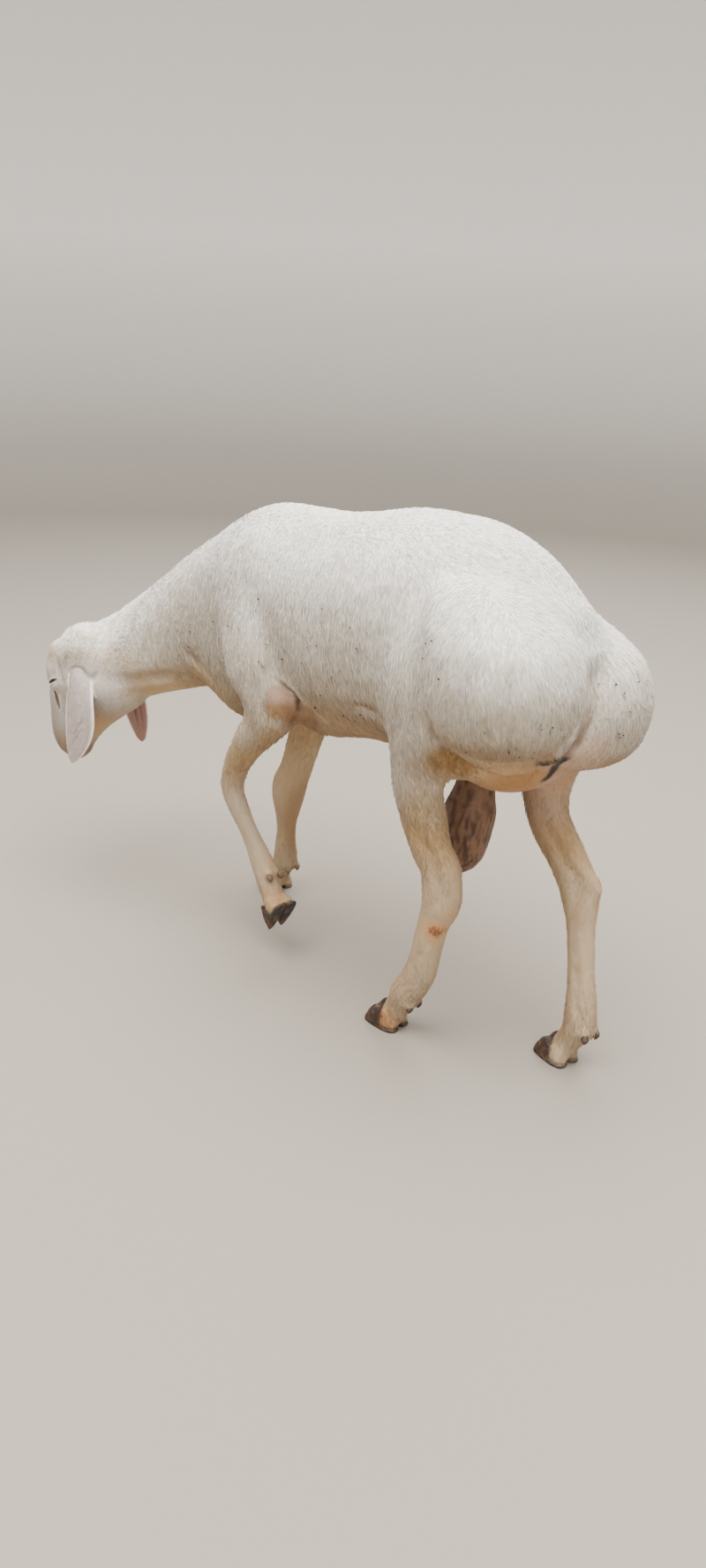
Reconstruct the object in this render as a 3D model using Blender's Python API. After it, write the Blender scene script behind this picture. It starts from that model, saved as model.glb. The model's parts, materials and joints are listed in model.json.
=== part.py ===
"""A shorn fat-tailed ram, walking with its head down, as a still life-size model.

Metres, +Z up. The ram faces -X and its left side faces -Y. The flesh is modelled whole,
fused, and then parted into named pieces by thin cuts. Horn, eyes, ears and scrotum are
pieces of their own, set in sockets. At the end everything is moved so that the origin lies
on the floor under the middle of the model's box.
"""

import math

import bmesh
import bpy
import numpy as np
from mathutils import Matrix, Vector

# ---------------------------------------------------------------- driving sizes
GAP = 0.0003                 # clearance between touching pieces
VOXEL = 0.005                # fusing resolution
FUSED_TRIANGLES = 24000      # of the flesh before it is parted
PIECE_TRIANGLES = {"head": 1150, "neck": 420, "trunk": 1700, "tail_lobe_left": 440,
                   "tail_lobe_right": 440, "leg_front_left": 600, "leg_front_right": 600,
                   "leg_hind_left": 620, "leg_hind_right": 620}
RING_POINTS = 28             # points round each ring of a large lofted form

# Outlines of the trunk against X, out to the tips of the coat.
BACK = [(-0.715, 0.590), (-0.67, 0.672), (-0.59, 0.736), (-0.50, 0.768), (-0.40, 0.768),
        (-0.30, 0.780), (-0.20, 0.798), (-0.12, 0.798), (-0.03, 0.778), (0.05, 0.724),
        (0.12, 0.645)]
UNDERLINE = [(-0.715, 0.480), (-0.66, 0.400), (-0.57, 0.375), (-0.45, 0.403),
             (-0.33, 0.428), (-0.20, 0.438), (-0.08, 0.448), (0.02, 0.450), (0.12, 0.500)]
HALF_WIDTH = [(-0.715, 0.040), (-0.66, 0.085), (-0.55, 0.112), (-0.42, 0.138),
              (-0.27, 0.168), (-0.16, 0.170), (-0.05, 0.150), (0.05, 0.125), (0.12, 0.080)]
TRUNK_RINGS = 34
TRUNK_SQUARENESS = 2.25      # 2 is an ellipse
TRUNK_WIDEST = 0.52          # height of the widest place in each section, as a share
CHEST_KEEL = 0.16            # how much the chest narrows downwards
CHEST_END, CHEST_FADE = -0.30, 0.25

NECK_RINGS = 22
# Neck: centre x, y, z, half height and half width, from the shoulders to the skull.
NECK = [(-0.540, 0.000, 0.595, 0.150, 0.100),
        (-0.670, -0.010, 0.545, 0.128, 0.086),
        (-0.780, -0.038, 0.487, 0.102, 0.070),
        (-0.865, -0.074, 0.440, 0.085, 0.062),
        (-0.930, -0.110, 0.408, 0.077, 0.056)]

# Head, in its own axes: along the face from the back of the skull to the lips, across,
# and up through the forehead.
HEAD_ORIGIN = (-0.951, -0.126, 0.492)
HEAD_TURN = math.radians(20)        # to the ram's left of its body
HEAD_TUCK = math.radians(-3)        # of the face past upright, muzzle towards the chest
HEAD_LENGTH = 0.272
HEAD_RINGS = 30
HEAD_TOP = [(0.0, 0.005), (0.03, 0.034), (0.07, 0.063), (0.09, 0.065), (0.12, 0.060),
            (0.16, 0.059), (0.20, 0.057), (0.225, 0.053), (0.245, 0.042), (0.262, 0.022),
            (0.272, 0.004)]
HEAD_UNDER = [(0.0, -0.090), (0.04, -0.130), (0.08, -0.155), (0.12, -0.153), (0.164, -0.106),
              (0.19, -0.075), (0.21, -0.056), (0.235, -0.037), (0.262, -0.022), (0.272, -0.013)]
HEAD_HALF_WIDTH = [(0.0, 0.040), (0.04, 0.056), (0.10, 0.060), (0.14, 0.051),
                   (0.18, 0.041), (0.22, 0.036), (0.25, 0.032), (0.272, 0.018)]
HEAD_SQUARENESS = 2.2
HEAD_WIDEST = 0.62                  # height of the widest place in each section, as a share
EYE_RADIUS = 0.0135
EYE_SEGMENTS = 12
EYE_AT = (0.110, 0.0455, 0.013)     # along, across, up

# Ears: places along each ear in the head's axes; half width and half thickness follow.
EAR_HALF_WIDTH = [(0.0, 0.014), (0.15, 0.026), (0.40, 0.032), (0.65, 0.034), (0.85, 0.025),
                  (0.95, 0.014), (1.0, 0.005)]
EAR_HALF_THICKNESS = [(0.0, 0.0085), (0.2, 0.0060), (0.8, 0.0045), (1.0, 0.0025)]
EAR_CURL = 0.22              # how far the edges turn in, as a share of the half width
EAR_SQUARENESS = 2.2
EAR_RINGS = 12
EAR_POINTS = 12
EAR_GAP = 0.0010             # wider than elsewhere, as the leaf's faces are bent
EARS = {
    "ear_left": [(0.070, -0.044, -0.038), (0.082, -0.060, -0.045), (0.112, -0.071, -0.052),
                 (0.180, -0.075, -0.057), (0.250, -0.073, -0.052)],
    "ear_right": [(0.070, 0.044, -0.038), (0.083, 0.064, -0.045), (0.112, 0.082, -0.054),
                  (0.175, 0.098, -0.066), (0.250, 0.106, -0.076)],
}

LEG_RINGS = 44
# Legs: joint, centre x, y, z, half depth and half width, from the body down.
LEGS = {
    "hind_left": [
        ("hip", -0.020, -0.095, 0.620, 0.110, 0.062),
        ("thigh", -0.045, -0.118, 0.535, 0.086, 0.056),
        ("stifle", -0.067, -0.120, 0.455, 0.046, 0.037),
        ("gaskin", -0.057, -0.106, 0.372, 0.040, 0.031),
        ("shank", -0.046, -0.101, 0.335, 0.036, 0.028),
        ("hock_top", -0.028, -0.096, 0.305, 0.037, 0.026),
        ("hock", -0.027, -0.092, 0.262, 0.036, 0.026),
        ("below_hock", -0.041, -0.091, 0.215, 0.028, 0.022),
        ("cannon", -0.052, -0.090, 0.165, 0.027, 0.022),
        ("shin", -0.061, -0.089, 0.125, 0.029, 0.023),
        ("fetlock", -0.092, -0.088, 0.070, 0.029, 0.026),
        ("pastern", -0.106, -0.087, 0.044, 0.022, 0.021),
        ("coronet", -0.121, -0.086, 0.010, 0.025, 0.024)],
    "hind_right": [
        ("hip", 0.000, 0.095, 0.620, 0.110, 0.062),
        ("thigh", 0.000, 0.112, 0.535, 0.098, 0.060),
        ("stifle", -0.003, 0.103, 0.458, 0.064, 0.045),
        ("gaskin", 0.022, 0.075, 0.375, 0.038, 0.031),
        ("hock_top", 0.083, 0.063, 0.310, 0.035, 0.025),
        ("hock", 0.107, 0.061, 0.272, 0.034, 0.025),
        ("below_hock", 0.117, 0.058, 0.222, 0.025, 0.020),
        ("cannon", 0.127, 0.054, 0.170, 0.0235, 0.020),
        ("fetlock", 0.142, 0.048, 0.070, 0.029, 0.026),
        ("pastern", 0.128, 0.047, 0.044, 0.022, 0.021),
        ("coronet", 0.112, 0.046, 0.010, 0.025, 0.024)],
    "front_left": [
        ("shoulder", -0.465, -0.092, 0.620, 0.095, 0.045),
        ("arm", -0.415, -0.118, 0.530, 0.085, 0.047),
        ("elbow", -0.396, -0.121, 0.465, 0.051, 0.038),
        ("forearm", -0.453, -0.119, 0.385, 0.032, 0.025),
        ("above_knee", -0.493, -0.112, 0.326, 0.026, 0.021),
        ("knee", -0.503, -0.109, 0.294, 0.025, 0.020),
        ("below_knee", -0.491, -0.103, 0.257, 0.0215, 0.0180),
        ("cannon", -0.474, -0.095, 0.220, 0.0185, 0.0165),
        ("fetlock", -0.444, -0.080, 0.146, 0.025, 0.022),
        ("pastern", -0.431, -0.079, 0.118, 0.0215, 0.021),
        ("coronet", -0.414, -0.077, 0.082, 0.024, 0.024)],
    "front_right": [
        ("shoulder", -0.500, 0.092, 0.620, 0.095, 0.045),
        ("arm", -0.500, 0.110, 0.525, 0.078, 0.047),
        ("elbow", -0.515, 0.105, 0.450, 0.054, 0.040),
        ("forearm", -0.545, 0.098, 0.350, 0.038, 0.032),
        ("above_knee", -0.566, 0.088, 0.262, 0.034, 0.029),
        ("knee", -0.579, 0.085, 0.228, 0.038, 0.031),
        ("cannon", -0.590, 0.090, 0.140, 0.022, 0.019),
        ("fetlock", -0.598, 0.096, 0.068, 0.027, 0.024),
        ("pastern", -0.613, 0.098, 0.044, 0.022, 0.021),
        ("coronet", -0.628, 0.100, 0.010, 0.025, 0.024)],
}

# Fleshy masses fused into the body: centre and half sizes.
MASSES = {
    "shoulder_left": ((-0.465, -0.078, 0.600), (0.100, 0.056, 0.145)),
    "shoulder_right": ((-0.475, 0.078, 0.600), (0.100, 0.056, 0.145)),
    "haunch_left": ((-0.040, -0.090, 0.585), (0.125, 0.088, 0.140)),
    "haunch_right": ((-0.036, 0.088, 0.580), (0.122, 0.088, 0.138)),
    "tail_root": ((0.000, 0.000, 0.653), (0.104, 0.118, 0.082)),
    "crotch": ((0.010, 0.010, 0.480), (0.070, 0.110, 0.060)),
}

HOCK_KNOB = (0.019, 0.013, 0.024)      # half sizes of the point of the hock
HOCK_KNOB_AT = (0.021, 0.0, 0.018)     # from the hock's middle

# Fat tail: two hanging cushions. Each row is a height above the lobe's middle, centre
# behind it, half depth and half width.
LOBE = [(-0.106, 0.000, 0.040, 0.044), (-0.092, 0.004, 0.073, 0.075),
        (-0.060, 0.006, 0.095, 0.097), (-0.005, 0.004, 0.106, 0.106),
        (0.050, -0.009, 0.100, 0.098), (0.094, -0.038, 0.075, 0.072),
        (0.122, -0.060, 0.044, 0.040)]
LOBE_SQUARENESS = 2.35
LOBE_RINGS = 20
LOBES = {"left": (0.057, -0.101, 0.617), "right": (0.046, 0.080, 0.563)}

SCROTUM_RINGS = 11
SCROTUM_POINTS = 14
# Scrotum: centre x, y, z, half depth and half width.
SCROTUM = [(-0.050, 0.000, 0.452, 0.031, 0.031), (-0.055, -0.002, 0.415, 0.030, 0.032),
           (-0.064, -0.002, 0.360, 0.042, 0.044), (-0.074, -0.004, 0.305, 0.041, 0.043),
           (-0.080, -0.005, 0.272, 0.028, 0.030), (-0.082, -0.005, 0.257, 0.009, 0.010)]

# Feet: where each stands, which way it points from -X (towards the ram's left), and for
# the raised foot how far it hangs.
CLAW_AHEAD = 0.040           # from the foot's middle to the toe
CLAW_BEHIND = 0.025          # and to the heel
CLAW_HALF_WIDTH = 0.0118
CLAW_SQUARENESS = 2.3
CLAW_TAPER = -0.30           # the toe is narrower than the heel
CLAW_POINTS = 12
# Each level of a claw, from sole to coronet: height, toe, heel and width as shares.
CLAW_LEVELS = [(0.0, 1.00, 1.00, 1.00), (0.12, 1.00, 1.03, 1.04), (0.55, 0.80, 0.98, 1.04),
               (1.0, 0.50, 0.93, 0.98)]
CLAW_SPREAD = 0.0130         # of each claw's middle from the foot's
CORONET_HEIGHT = 0.029
CORONET_TILT = math.radians(24)
FEET = {
    "hind_left": ((-0.124, -0.086, 0.0), math.radians(8), 0.0),
    "hind_right": ((0.112, 0.046, 0.0), math.radians(-4), 0.0),
    "front_left": ((-0.399, -0.078, 0.085), math.radians(0), math.radians(62)),
    "front_right": ((-0.626, 0.100, 0.0), math.radians(4), 0.0),
}
DEWCLAW = (0.0080, 0.0075, 0.0100)    # half sizes: fore and aft, across, along the leg
DEWCLAW_SEGMENTS = 8
DEWCLAW_BELOW = 0.008                 # of the fetlock's middle
DEWCLAW_BEHIND = 0.0225
DEWCLAW_APART = 0.0120                # of each from the leg's middle

# How far the fused flesh is eased: iterations, and weights from the limbs to the body.
EASE_FACTOR = 0.5
EASE_ROUNDS = 60
EASE_LIMB = 0.12
EASE_HEAD = 0.22
EASE_TAIL = 0.35
HEAD_BEGINS = -0.80          # x, ahead of which the flesh is head and nape
BODY_BEGINS, BODY_FADE = 0.34, 0.12       # z, above which the flesh is body
TAIL_BEGINS = -0.03          # x
TAIL_TOP, TAIL_FADE = 0.62, 0.08          # z

# Thin cuts that part the flesh: a point of each cut, its slope in degrees and the half
# sizes of the block that is taken off beyond it.
HEAD_CUT_AT, HEAD_CUT_SLOPE, HEAD_BLOCK = (0.050, 0.0, -0.105), 38, (0.13, 0.12, 0.15)
NECK_CUT_AT, NECK_CUT_SLOPE, NECK_BLOCK = (-0.6375, 0.0, 0.5775), 20.5, (0.2, 0.2, 0.35)
TAIL_CUT_CORNER, TAIL_CUT_SLOPE, TAIL_BLOCK = (-0.055, 0.0, 0.490), 12, (0.15, 0.15, 0.16)
LEG_CUTS = {
    "front_left": ((-0.58, -0.33, -0.10), (-0.30, -0.045, 0.480)),
    "front_right": ((-0.72, 0.045, -0.10), (-0.44, 0.33, 0.470)),
    "hind_left": ((-0.20, -0.33, -0.10), (0.14, -0.030, 0.460)),
    "hind_right": ((-0.13, 0.012, -0.10), (0.22, 0.33, 0.455)),
}

# Finishes: linear colour, roughness and metallic, and the pieces that wear each.
FINISHES = {
    "short_fleece": ((0.76, 0.70, 0.60), 0.95, 0.0),
    "face_hair": ((0.70, 0.64, 0.54), 0.90, 0.0),
    "leg_hair": ((0.60, 0.50, 0.37), 0.90, 0.0),
    "ear_skin": ((0.68, 0.56, 0.52), 0.80, 0.0),
    "eye_amber": ((0.05, 0.025, 0.010), 0.12, 0.0),
    "hoof_horn": ((0.055, 0.035, 0.025), 0.55, 0.0),
    "scrotum_skin": ((0.20, 0.13, 0.095), 0.85, 0.0),
}
WEARS = {"head": "face_hair", "neck": "short_fleece", "trunk": "short_fleece",
         "tail": "short_fleece", "leg": "leg_hair", "ear": "ear_skin", "eye": "eye_amber",
         "claw": "hoof_horn", "dewclaw": "hoof_horn", "scrotum": "scrotum_skin"}
SHARP_ANGLE = math.radians(50)
SIDES = ((-1, "left"), (1, "right"))


# ---------------------------------------------------------------- small tools
def clear_scene():
    for obj in list(bpy.data.objects):
        bpy.data.objects.remove(obj, do_unlink=True)


def add_object(name, mesh):
    obj = bpy.data.objects.new(name, mesh)
    bpy.context.scene.collection.objects.link(obj)
    return obj


def to_mesh(name, bm):
    mesh = bpy.data.meshes.new(name)
    bm.to_mesh(mesh)
    bm.free()
    return mesh


def smooth_curve(points, at):
    """Reads a smooth curve through (x, value) points, without overshoot."""
    table = np.array(points, float)
    x, rows = table[:, 0], table[:, 1:]
    step = np.diff(x)[:, None]
    slope = np.diff(rows, axis=0) / step
    tangent = np.zeros_like(rows)
    tangent[0], tangent[-1] = slope[0], slope[-1]
    total = slope[:-1] + slope[1:]
    safe = np.where(np.abs(total) < 1e-9, 1.0, total)
    agree = slope[:-1] * slope[1:] > 0
    tangent[1:-1] = np.where(agree, 2 * slope[:-1] * slope[1:] / safe, 0.0)
    at = np.clip(np.asarray(at, float), x[0], x[-1])
    i = np.clip(np.searchsorted(x, at, side="right") - 1, 0, len(x) - 2)
    h = step[i]
    t = ((at - x[i]) / h[:, 0])[:, None]
    return (rows[i] * (2 * t**3 - 3 * t**2 + 1) + tangent[i] * h * (t**3 - 2 * t**2 + t)
            + rows[i + 1] * (3 * t**2 - 2 * t**3) + tangent[i + 1] * h * (t**3 - t**2))


def along_path(stations, count):
    """Smooth rows through stations whose first three columns are a place."""
    rows = np.array(stations, float)
    length = np.linalg.norm(np.diff(rows[:, :3], axis=0), axis=1)
    reach = np.concatenate([[0.0], np.cumsum(length)])
    return smooth_curve(np.column_stack([reach, rows]), np.linspace(0.0, reach[-1], count))


def ring(centre, side, up, half_side, half_up, half_down, power=2.0, taper=0.0,
         points=RING_POINTS):
    """One closed oval, squarer than an ellipse where power is over 2."""
    places = []
    for k in range(points):
        angle = 2 * math.pi * k / points
        c, s = math.cos(angle), math.sin(angle)
        across = math.copysign(abs(c) ** (2 / power), c) * half_side * (1 + taper * s)
        high = math.copysign(abs(s) ** (2 / power), s) * (half_up if s > 0 else half_down)
        places.append(Vector(centre) + Vector(side) * across + Vector(up) * high)
    return places


def loft(rings):
    """A closed mesh through rings of equal count, with a cap at each end."""
    bm = bmesh.new()
    loops = []
    for places in rings:
        verts = [bm.verts.new(p) for p in places]
        loops.append([bm.edges.new((a, b)) for a, b in zip(verts, verts[1:] + verts[:1])])
    for near, far in zip(loops, loops[1:]):
        bmesh.ops.bridge_loops(bm, edges=near + far)
    bmesh.ops.contextual_create(bm, geom=loops[0])
    bmesh.ops.contextual_create(bm, geom=loops[-1])
    bmesh.ops.recalc_face_normals(bm, faces=bm.faces)
    return to_mesh("loft", bm)


def ball(centre, half_sizes, turn=Matrix.Identity(3), segments=32):
    bm = bmesh.new()
    bmesh.ops.create_uvsphere(bm, u_segments=segments, v_segments=segments // 2, radius=1.0)
    place = Matrix.Translation(centre) @ turn.to_4x4() @ Matrix.Diagonal((*half_sizes, 1.0))
    bmesh.ops.transform(bm, matrix=place, verts=bm.verts)
    bmesh.ops.recalc_face_normals(bm, faces=bm.faces)
    return to_mesh("ball", bm)


def block(centre, half_sizes, turn=Matrix.Identity(3)):
    bm = bmesh.new()
    bmesh.ops.create_cube(bm, size=2.0)
    place = Matrix.Translation(centre) @ turn.to_4x4() @ Matrix.Diagonal((*half_sizes, 1.0))
    bmesh.ops.transform(bm, matrix=place, verts=bm.verts)
    bmesh.ops.recalc_face_normals(bm, faces=bm.faces)
    return to_mesh("block", bm)


def join(meshes):
    bm = bmesh.new()
    for mesh in meshes:
        bm.from_mesh(mesh)
    return to_mesh("joined", bm)


def apply_modifiers(obj):
    graph = bpy.context.evaluated_depsgraph_get()
    mesh = bpy.data.meshes.new_from_object(obj.evaluated_get(graph))
    obj.modifiers.clear()
    obj.data = mesh
    return obj


def cut(obj, mesh, operation):
    """Boolean of an object with a closed mesh, applied."""
    cutter = add_object("cutter", mesh)
    boolean = obj.modifiers.new("cut", "BOOLEAN")
    boolean.operation = operation
    boolean.solver = "EXACT"
    boolean.object = cutter
    apply_modifiers(obj)
    bpy.data.objects.remove(cutter, do_unlink=True)
    return obj


# ---------------------------------------------------------------- body forms
def trunk_mesh():
    places = np.linspace(BACK[0][0], BACK[-1][0], TRUNK_RINGS)
    top = smooth_curve(BACK, places)[:, 0]
    low = smooth_curve(UNDERLINE, places)[:, 0]
    wide = smooth_curve(HALF_WIDTH, places)[:, 0]
    rings = []
    for x, high, under, half in zip(places, top, low, wide):
        middle = under + TRUNK_WIDEST * (high - under)
        keel = CHEST_KEEL * min(1.0, max(0.0, (CHEST_END - x) / CHEST_FADE))
        rings.append(ring((x, 0, middle), (0, 1, 0), (0, 0, 1), half, high - middle,
                          middle - under, TRUNK_SQUARENESS, keel))
    return loft(rings)


def path_loft(stations, count, grow=0.0, points=RING_POINTS):
    """A round form along a path: each row holds a place, a half depth and a half width."""
    rows = along_path(stations, count)
    rings = []
    for k, row in enumerate(rows):
        ahead = Vector(rows[min(k + 1, count - 1)][:3]) - Vector(rows[max(k - 1, 0)][:3])
        ahead.normalize()
        side = (Vector((0, 1, 0)) - ahead * ahead.y).normalized()
        up = ahead.cross(side)
        half_up, half_side = row[3] + grow, row[4] + grow
        rings.append(ring(row[:3], side, up, half_side, half_up, half_up, points=points))
    return loft(rings)


def lobe_mesh(centre):
    """One hanging cushion of the fat tail."""
    heights = np.linspace(LOBE[0][0], LOBE[-1][0], LOBE_RINGS)
    rows = smooth_curve(LOBE, heights)
    rings = []
    for height, (behind, depth, width) in zip(heights, rows):
        place = Vector(centre) + Vector((behind, 0, height))
        rings.append(ring(place, (0, 1, 0), (1, 0, 0), width, depth, depth, LOBE_SQUARENESS))
    return loft(rings)


def joint_place(leg, joint):
    return next(Vector(row[1:4]) for row in LEGS[leg] if row[0] == joint)


def hock_knob(leg):
    return ball(joint_place(leg, "hock") + Vector(HOCK_KNOB_AT), HOCK_KNOB, segments=16)


def head_axes():
    facing = Vector((-math.cos(HEAD_TURN), -math.sin(HEAD_TURN), 0))
    across = facing.cross(Vector((0, 0, 1)))
    along = -math.sin(HEAD_TUCK) * facing - math.cos(HEAD_TUCK) * Vector((0, 0, 1))
    up = math.cos(HEAD_TUCK) * facing - math.sin(HEAD_TUCK) * Vector((0, 0, 1))
    return along, across, up


def head_place(along, across, up):
    a, c, u = head_axes()
    return Vector(HEAD_ORIGIN) + a * along + c * across + u * up


def head_mesh():
    _, across, up = head_axes()
    places = np.linspace(0.0, HEAD_LENGTH, HEAD_RINGS)
    top = smooth_curve(HEAD_TOP, places)[:, 0]
    low = smooth_curve(HEAD_UNDER, places)[:, 0]
    wide = smooth_curve(HEAD_HALF_WIDTH, places)[:, 0]
    rings = []
    for s, high, under, half in zip(places, top, low, wide):
        middle = under + HEAD_WIDEST * (high - under)
        rings.append(ring(head_place(s, 0, middle), across, up, half, high - middle,
                          middle - under, HEAD_SQUARENESS))
    return loft(rings)


def ear_mesh(name, grow=0.0):
    """A drooping leaf, hollow on the side that faces the head."""
    rows = along_path([tuple(head_place(*p)) for p in EARS[name]], EAR_RINGS)
    rows[0] -= (rows[1] - rows[0]) / np.linalg.norm(rows[1] - rows[0]) * grow
    reach = np.linspace(0.0, 1.0, len(rows))
    wide = smooth_curve(EAR_HALF_WIDTH, reach)[:, 0] + grow
    thick = smooth_curve(EAR_HALF_THICKNESS, reach)[:, 0] + grow
    _, across, up = head_axes()
    outward = across if name == "ear_right" else -across
    rings = []
    for k, row in enumerate(rows):
        ahead = Vector(rows[min(k + 1, len(rows) - 1)]) - Vector(rows[max(k - 1, 0)])
        ahead.normalize()
        breadth = (up - ahead * up.dot(ahead)).normalized()
        out = ahead.cross(breadth)
        if out.dot(outward) < 0:
            out = -out
        places = ring(row, breadth, out, wide[k], thick[k], thick[k], EAR_SQUARENESS,
                      points=EAR_POINTS)
        for p in places:
            share = (p - Vector(row)).dot(breadth) / wide[k]
            p -= out * (EAR_CURL * wide[k] * share * share)
        rings.append(places)
    return loft(rings)


# ---------------------------------------------------------------- feet
def foot_axes(leg):
    """Forward, side and up of a foot; a raised foot hangs with its toe down."""
    _, heading, hang = FEET[leg]
    forward = Vector((-math.cos(heading), -math.sin(heading), 0))
    side = forward.cross(Vector((0, 0, 1)))
    turn = Matrix.Rotation(-hang, 3, side)
    return turn @ forward, side, turn @ Vector((0, 0, 1))


def coronet_plane(leg):
    """A point and the upward normal of the plane between horn and skin."""
    forward, side, up = foot_axes(leg)
    point = Vector(FEET[leg][0]) + up * CORONET_HEIGHT
    normal = up * math.cos(CORONET_TILT) - forward * math.sin(CORONET_TILT)
    return point, normal


def claw_mesh(leg, sign):
    """One claw of a cloven hoof, on a flat sole."""
    forward, side, up = foot_axes(leg)
    base = Vector(FEET[leg][0]) + side * (sign * CLAW_SPREAD)
    rings = []
    for level, toe, heel, width in CLAW_LEVELS:
        tilt = CORONET_TILT * level
        ahead = forward * math.cos(tilt) + up * math.sin(tilt)
        middle = base + up * (CORONET_HEIGHT - GAP) * level
        rings.append(ring(middle, side, ahead, CLAW_HALF_WIDTH * width,
                          CLAW_AHEAD * toe, CLAW_BEHIND * heel, CLAW_SQUARENESS, CLAW_TAPER,
                          CLAW_POINTS))
    return loft(rings)


def dewclaw_place(leg, sign):
    """Middle and turn of a dewclaw, low on the back of the fetlock."""
    _, side, _ = foot_axes(leg)
    along = (joint_place(leg, "pastern") - joint_place(leg, "cannon")).normalized()
    back = side.cross(along).normalized()
    if back.x < 0:
        back = -back
    place = joint_place(leg, "fetlock") + along * DEWCLAW_BELOW + back * DEWCLAW_BEHIND
    place += side * (sign * DEWCLAW_APART)
    return place, Matrix((back, side, along)).transposed()


# ---------------------------------------------------------------- putting it together
def rise(value, begins, fade):
    """Goes from 0 to 1 over a stretch."""
    return min(1.0, max(0.0, (value - begins) / fade))


def ease_weight(place):
    """How much the fused flesh is eased here: limbs and face keep their shape."""
    if place.x < HEAD_BEGINS:
        return EASE_HEAD
    if place.x > TAIL_BEGINS and place.z > TAIL_CUT_CORNER[2]:
        return EASE_TAIL + (1 - EASE_TAIL) * rise(place.z, TAIL_TOP, TAIL_FADE)
    return max(EASE_LIMB, rise(place.z, BODY_BEGINS, BODY_FADE))


def whole_flesh():
    """All the flesh fused into one skin and eased."""
    meshes = [trunk_mesh(), path_loft(NECK, NECK_RINGS), head_mesh()]
    meshes += [path_loft([row[1:] for row in joints], LEG_RINGS) for joints in LEGS.values()]
    meshes += [ball(*mass) for mass in MASSES.values()]
    meshes += [hock_knob(leg) for leg in LEGS if leg.startswith("hind")]
    meshes += [lobe_mesh(centre) for centre in LOBES.values()]
    body = add_object("trunk", join(meshes))
    fuse = body.modifiers.new("fuse", "REMESH")
    fuse.mode = "VOXEL"
    fuse.voxel_size = VOXEL
    apply_modifiers(body)
    group = body.vertex_groups.new(name="soft")
    for vertex in body.data.vertices:
        group.add([vertex.index], ease_weight(vertex.co), "REPLACE")
    ease = body.modifiers.new("ease", "SMOOTH")
    ease.factor = EASE_FACTOR
    ease.iterations = EASE_ROUNDS
    ease.vertex_group = group.name
    apply_modifiers(body)
    body.vertex_groups.clear()
    return thin_to(body, FUSED_TRIANGLES)


def thin_to(obj, triangles):
    """Collapses edges until about this many triangles are left; flat cuts stay flat."""
    now = sum(len(face.vertices) - 2 for face in obj.data.polygons)
    thin = obj.modifiers.new("thin", "DECIMATE")
    thin.ratio = min(1.0, triangles / now)
    return apply_modifiers(obj)


def part_off(body, name, centre, half_sizes, turn=Matrix.Identity(3)):
    """Takes what lies inside a block off the body as a piece of its own."""
    piece = add_object(name, body.data.copy())
    cut(piece, block(centre, half_sizes, turn), "INTERSECT")
    grown = [half + GAP for half in half_sizes]
    cut(body, block(centre, grown, turn), "DIFFERENCE")
    return piece


def trim_foot(obj, leg):
    """Cuts a leg off along its coronet, so that it sits on its claws."""
    point, normal = coronet_plane(leg)
    bm = bmesh.new()
    bm.from_mesh(obj.data)
    geometry = bm.verts[:] + bm.edges[:] + bm.faces[:]
    bmesh.ops.bisect_plane(bm, geom=geometry, plane_co=point, plane_no=normal, clear_inner=True)
    rim = [edge for edge in bm.edges if edge.is_boundary]
    bmesh.ops.holes_fill(bm, edges=rim, sides=0)
    bmesh.ops.triangulate(bm, faces=bm.faces)
    bm.to_mesh(obj.data)
    bm.free()


def turn_about_y(degrees):
    return Matrix.Rotation(math.radians(degrees), 3, "Y")


def part_head(body):
    along, across, up = head_axes()
    slope = math.radians(HEAD_CUT_SLOPE)
    down = along * math.cos(slope) - up * math.sin(slope)
    ahead = along * math.sin(slope) + up * math.cos(slope)
    turn = Matrix((down, across, ahead)).transposed()
    part_off(body, "head", head_place(*HEAD_CUT_AT) + ahead * HEAD_BLOCK[2], HEAD_BLOCK, turn)


def part_flesh(body):
    """Parts the fused flesh into head, neck, tail lobes and legs; the trunk is what is left."""
    part_head(body)
    tilt = turn_about_y(NECK_CUT_SLOPE)
    part_off(body, "neck", Vector(NECK_CUT_AT) - tilt.col[0] * NECK_BLOCK[0], NECK_BLOCK, tilt)
    tilt = turn_about_y(TAIL_CUT_SLOPE)
    behind = Vector(TAIL_CUT_CORNER) + tilt.col[0] * TAIL_BLOCK[0] + tilt.col[2] * TAIL_BLOCK[2]
    for sign, side in SIDES:
        centre = behind + Vector((0, sign * (TAIL_BLOCK[1] + GAP / 2), 0))
        part_off(body, "tail_lobe_" + side, centre, TAIL_BLOCK, tilt)
    for leg, (low, high) in LEG_CUTS.items():
        centre = (Vector(low) + Vector(high)) / 2
        piece = part_off(body, "leg_" + leg, centre, (Vector(high) - Vector(low)) / 2)
        trim_foot(piece, leg)
    for name, triangles in PIECE_TRIANGLES.items():
        thin_to(bpy.data.objects[name], triangles)


def set_in(hosts, name, grown, mesh):
    """Cuts a socket for a piece into the pieces round it and adds the piece."""
    for host in hosts:
        cut(bpy.data.objects[host], grown.copy(), "DIFFERENCE")
    add_object(name, mesh)


def add_feet():
    for leg in LEGS:
        for sign, side in SIDES:
            add_object(f"claw_{leg}_{side}", claw_mesh(leg, sign))
            place, turn = dewclaw_place(leg, sign)
            grown = [half + GAP for half in DEWCLAW]
            socket = ball(place, grown, turn, DEWCLAW_SEGMENTS)
            set_in(["leg_" + leg], f"dewclaw_{leg}_{side}", socket,
                   ball(place, DEWCLAW, turn, DEWCLAW_SEGMENTS))


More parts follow.
